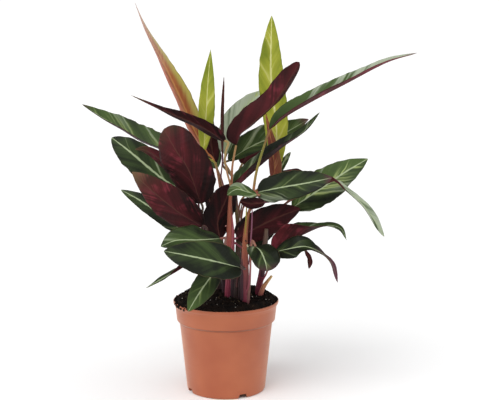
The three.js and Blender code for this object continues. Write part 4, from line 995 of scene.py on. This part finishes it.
leaf("long_folded_right", [(5, 10, 226.5), (18, 10, 238), (39.5, 12, 257), (64, 14, 277),
      (88, 16, 294), (106, 16, 316)], 27, (-0.3, -0.75, 0.55), fold=28,
     fold_right=(86, 86, 86, 80, 50, 30), peak=0.24, base=0.42, tip=(1.4, 0.8),
     tone=(0.6, 0.2, 0.5), shine=(1.3, 0.3, 0.1, 0.2, 0.6), bands=(1.4, 0.4, 0.3))
leaf("sliver_behind_right", [(61, 52, 243), (67, 54, 255), (75, 56, 267)], 9, (0, -0.8, 0.6),
     fold=12, peak=0.4, tone=0.6, shine=0.6)
leaf("large_green_right", [(35.5, -24, 230.5), (62, -36, 237.5), (88, -50, 244), (115, -56, 250.5)],
     34, (0.05, -1, 0.5), fold=8, peak=0.4, base=0.38, tip=(2, 0.75), tone=(0, 0.15), bands=0.4,
     blush=(0,) * 9 + (0.8,), rib_width=0.8)
leaf("drooping_green_right", [(74, -8, 220), (100, -22, 239), (118, -34, 245), (132, -38, 234.5),
      (152, -38, 216.5), (175, -34, 182.5)], 22, [(0.2, 0.6, 0.8), (0.4, 0.2, 0.9),
      (0.62, -0.05, 0.8), (0.8, -0.4, 0.5), (0.7, -0.6, 0.4)], fold=12, peak=0.66, base=0.45,
     tone=(0.4, 0.7, 0.9, 1), blush=(0.6, 0.9, 0.2, 0, 0, 0, 0), shine=(0.8, 1, 1.4, 1.6, 1.6),
     bands=0.9)
leaf("striped_green_right", [(75, 2, 209), (102, -4, 228.5), (132, -8, 250), (159, -4, 265.5)], 39,
     (0, -1, 0.45), fold=5, peak=0.45, tip=(1.6, 0.85), tone=(0.4, 0.7, 0.8), bands=1, lean=-0.3)
leaf("burgundy_right", [(13, -8, 176), (36.5, -9, 189.5), (61, -12, 202), (84, -10, 210)], 37,
     (0.1, 1, 0.3), fold=(12, 12, 8, 6), fold_right=6, peak=0.4, base=0.33, slot="leaf_burgundy",
     tone=(0.5, 0.4, 0.2), shine=(0.4, 0))
leaf("twisted_burgundy_right", [(52, -24, 165), (64, -34, 174), (87, -40, 187.5), (108, -42, 196),
      (125.5, -40, 193), (133.5, -36, 179)], 42, [(-0.3, 0.1, 1), (-0.3, 0.1, 1), (-0.1, -0.1, 1),
      (0.5, -0.9, 0.3)], fold=(60, 66, 50, 14, 8, 8), fold_right=(88, 85, 60, 24, 10, 8), peak=0.34,
     tip=(1, 1.1), slot="leaf_burgundy", tone=(0.5, 0.6), shine=0.6, rib_width=0.6)
leaf("drooping_low_right", [(54, -36, 165.5), (69.5, -50, 172), (86.5, -58, 176), (103, -62, 170.5),
      (115.5, -60, 157.5), (122.5, -55, 136)], 28, [(0, -0.7, 0.7), (0.05, -0.75, 0.65),
      (0.2, -0.8, 0.6), (0.6, -0.2, 0.75), (0.75, 0, 0.6), (0.8, -0.5, 0.2), (0.6, -0.8, 0.1)],
     peak=0.32, tip=(1.2, 0.85), tone=(0.05, 0.1, 0.2), blush=(0, 0, 0, 0.8, 1), bands=0.4,
     rib_width=0.7)
leaf("small_hanging_right", [(87.5, -23, 167), (90.5, -24, 162), (94, -24, 154), (93, -24, 144.5)],
     6.8, (0.4, 0.75, 0.5), fold=8, peak=0.55, slot="leaf_burgundy", shine=0.3)
leaf("small_green_front", [(33.5, -46, 174), (39, -60, 171), (43.5, -75, 163), (45.5, -81, 154)],
     36, (-0.1, -0.75, 0.75), fold=-10, fold_right=34, peak=0.5, base=0.4, tip=(3, 0.6),
     tone=(0, 0.2), blush=(0, 0, 0, 0, 0, 0.5), bands=0.4, rib_width=0.8)
leaf("dark_low_middle", [(23, 14, 160.5), (32, 13, 167.5), (43.5, 12, 174), (56, 12, 180)], 15,
     (0.1, -1, 0.3), fold=8, tone=0.1, bands=0.4)
leaf("tiny_green_middle", [(35, -32, 229), (24, -40, 233), (13, -45, 236.5), (2.5, -45, 230.5)], 17,
     (0.1, -0.8, 0.7), fold=8, peak=0.6, tone=0.7, shine=0.2, rib_width=0.5)
leaf("dark_under_middle", [(44, -33, 221), (35.5, -32, 219.5), (26, -31, 219.5), (16, -31, 222)],
     15.5, (0.1, 0.9, 0.4), fold=6, peak=0.5, slot="leaf_burgundy", tone=0.2, shine=0.1)

# the back
leaf("back_upper_left", [(-24, 76, 218), (-48, 92, 240), (-70, 104, 254), (-92, 110, 260)], 34,
     (-0.2, 0.8, 0.6))
leaf("back_low_left", [(-18, 72, 162), (-36, 92, 174), (-54, 110, 176), (-70, 122, 168)], 36,
     (-0.2, 0.6, 0.8), fold=8)
leaf("back_upper_right", [(32, 76, 212), (56, 92, 226), (80, 106, 232), (104, 114, 226)], 36,
     (0.2, 0.7, 0.7), fold=8)
leaf("back_low_right", [(27, 72, 156), (46, 90, 166), (64, 106, 168), (80, 118, 160)], 30,
     (0.2, 0.6, 0.8))
leaf("back_tall_left", [(-12, 76, 245), (-22, 90, 268), (-30, 100, 284), (-36, 108, 292)], 26,
     (-0.2, -0.8, 0.5), fold=14, slot="leaf_burgundy")
leaf("back_tall_right", [(18, 78, 250), (28, 90, 268), (38, 98, 282), (50, 102, 292)], 28,
     (0.1, 1, 0.3), fold=12)
leaf("back_middle", [(-4, 86, 186), (-8, 108, 196), (-10, 128, 194), (-12, 142, 184)], 30,
     (0, 0.5, 0.9))


# ------------------------------------------------------------------------------------------
# The young leaves. The newest leaves stand upright and are so thin that light comes through
# them: yellow green with cream bands, or still flushed orange red.
yellow_skin = leaf_material(
    "thin yellow-green young leaf", "76821f", "b4b440", "d8d79a", "d2d08c", "b9b56a", "c8c87a",
    "7a4438")
orange_skin = leaf_material(
    "flushed orange young leaf", "80401f", "ac6a3a", "b98a5a", "a8743f", "a8907a", "703428",
    "bda29c", halves=("a39c4c", "c07a66"))

leaf("tall_red_left", [(-23, 18, 273), (-38, 22, 301), (-49.5, 26, 328), (-71.5, 30, 373),
      (-89.5, 28, 407.5), (-101.5, 26, 438)], 27, (0.6, 1, 0.1), fold=26, peak=0.3, tip=(1.4, 1.5),
     skin=orange_skin, slot="leaf_young_red", tone=(0, 0.2, 0.5), blush=(0, 0, 0, 0.4, 0.95))
leaf("upright_yellow_left", [(-25, 4, 273), (-22, 2, 308), (-19.5, 0, 347), (-16, 2, 386)], 19,
     (0.2, -1, 0), fold=14, peak=0.45, tip=(1.7, 1), skin=yellow_skin, slot="leaf_young_yellow",
     tone=(0.6, 0.4, 0), bands=(0.6, 0.5, 0.4), rib_width=0.5)
leaf("young_red_left", [(-12, 26, 257), (-17, 30, 282), (-18, 36, 329)], 16, (0.3, 1, 0.1), fold=14,
     peak=0.3, tip=(1.1, 1.1), skin=burgundy_skin, slot="leaf_burgundy", tone=0.3, shine=0.1)
leaf("tall_yellow_right", [(57, 40, 243), (58, 44, 294), (51.5, 46, 357), (52, 42, 424)], 31,
     (0, -1, 0.05), fold=12, peak=0.52, base=0.7, tip=(1.9, 0.85), skin=yellow_skin,
     slot="leaf_young_yellow", tone=(0.8, 0.5, 0.35, 0.05), bands=(0.6, 0.6, 0.5),
     rib_width=(1, 1.3))
leaf("young_red_right", [(57, 26, 231), (54, 28, 270), (44.5, 32, 318)], 17, (0.3, 1, 0), fold=22,
     peak=0.3, tip=(1.1, 1.1), skin=orange_skin, slot="leaf_young_red", tone=0.2,
     shine=(2.6, 2.2, 1.4), rib_width=0.2)


# ------------------------------------------------------------------------------------------
# The studio: a plain pale floor, a white room that is dimmer overhead, and two very wide
# soft lights, from the upper left in front and from the upper right.
FLOOR_HALF = 30  # in metres
LENS_LENGTH = 75.6
CAMERA_PLACE = (0.0274, -1.169, 0.391)  # in metres
CAMERA_TILT = 8.4
bpy.context.scene.view_settings.view_transform = "Standard"

ground = bpy.data.meshes.new("floor")
corners = [(FLOOR_HALF * x, FLOOR_HALF * y, 0) for x, y in ((-1, -1), (1, -1), (1, 1), (-1, 1))]
ground.from_pydata(corners, [], [(0, 1, 2, 3)])
floor = bpy.data.objects.new("floor", ground)
bpy.context.scene.collection.objects.link(floor)
paper, tree, shader = start_material(
    "matt white studio paper", Roughness=1, Base_Color=linear("fafafa"), Specular_IOR_Level=0)
ground.materials.append(paper)

world = bpy.data.worlds.new("white room")
world.use_nodes = True
tree = world.node_tree
up = add(tree, "TexCoord").node.outputs["Generated"]
up = add(tree, "SeparateXYZ", up).node.outputs["Z"]
room = add(tree, "MapRange SMOOTHSTEP", up, 0.1, 0.45, 1.05, 0.5)
tree.links.new(room, tree.nodes["Background"].inputs["Strength"])
tree.nodes["Background"].inputs["Color"].default_value = (1, 1, 1, 1)
bpy.context.scene.world = world

for name, aim, width, power in [("key light", (0.55, 0.75, -1.05), 50, 1.75),
                                ("fill light", (-0.7, 0.35, -1.2), 70, 0.75)]:
    lamp = bpy.data.lights.new(name, "SUN")
    lamp.angle = math.radians(width)
    lamp.energy = power
    light = bpy.data.objects.new(name, lamp)
    light.rotation_euler = Vector(aim).to_track_quat("-Z", "Y").to_euler()
    bpy.context.scene.collection.objects.link(light)

lens = bpy.data.cameras.new("camera")
lens.sensor_width = 36
lens.lens = LENS_LENGTH
camera = bpy.data.objects.new("camera", lens)
camera.location = CAMERA_PLACE
camera.rotation_euler = (math.radians(90 - CAMERA_TILT), 0, 0)
bpy.context.scene.collection.objects.link(camera)
bpy.context.scene.camera = camera
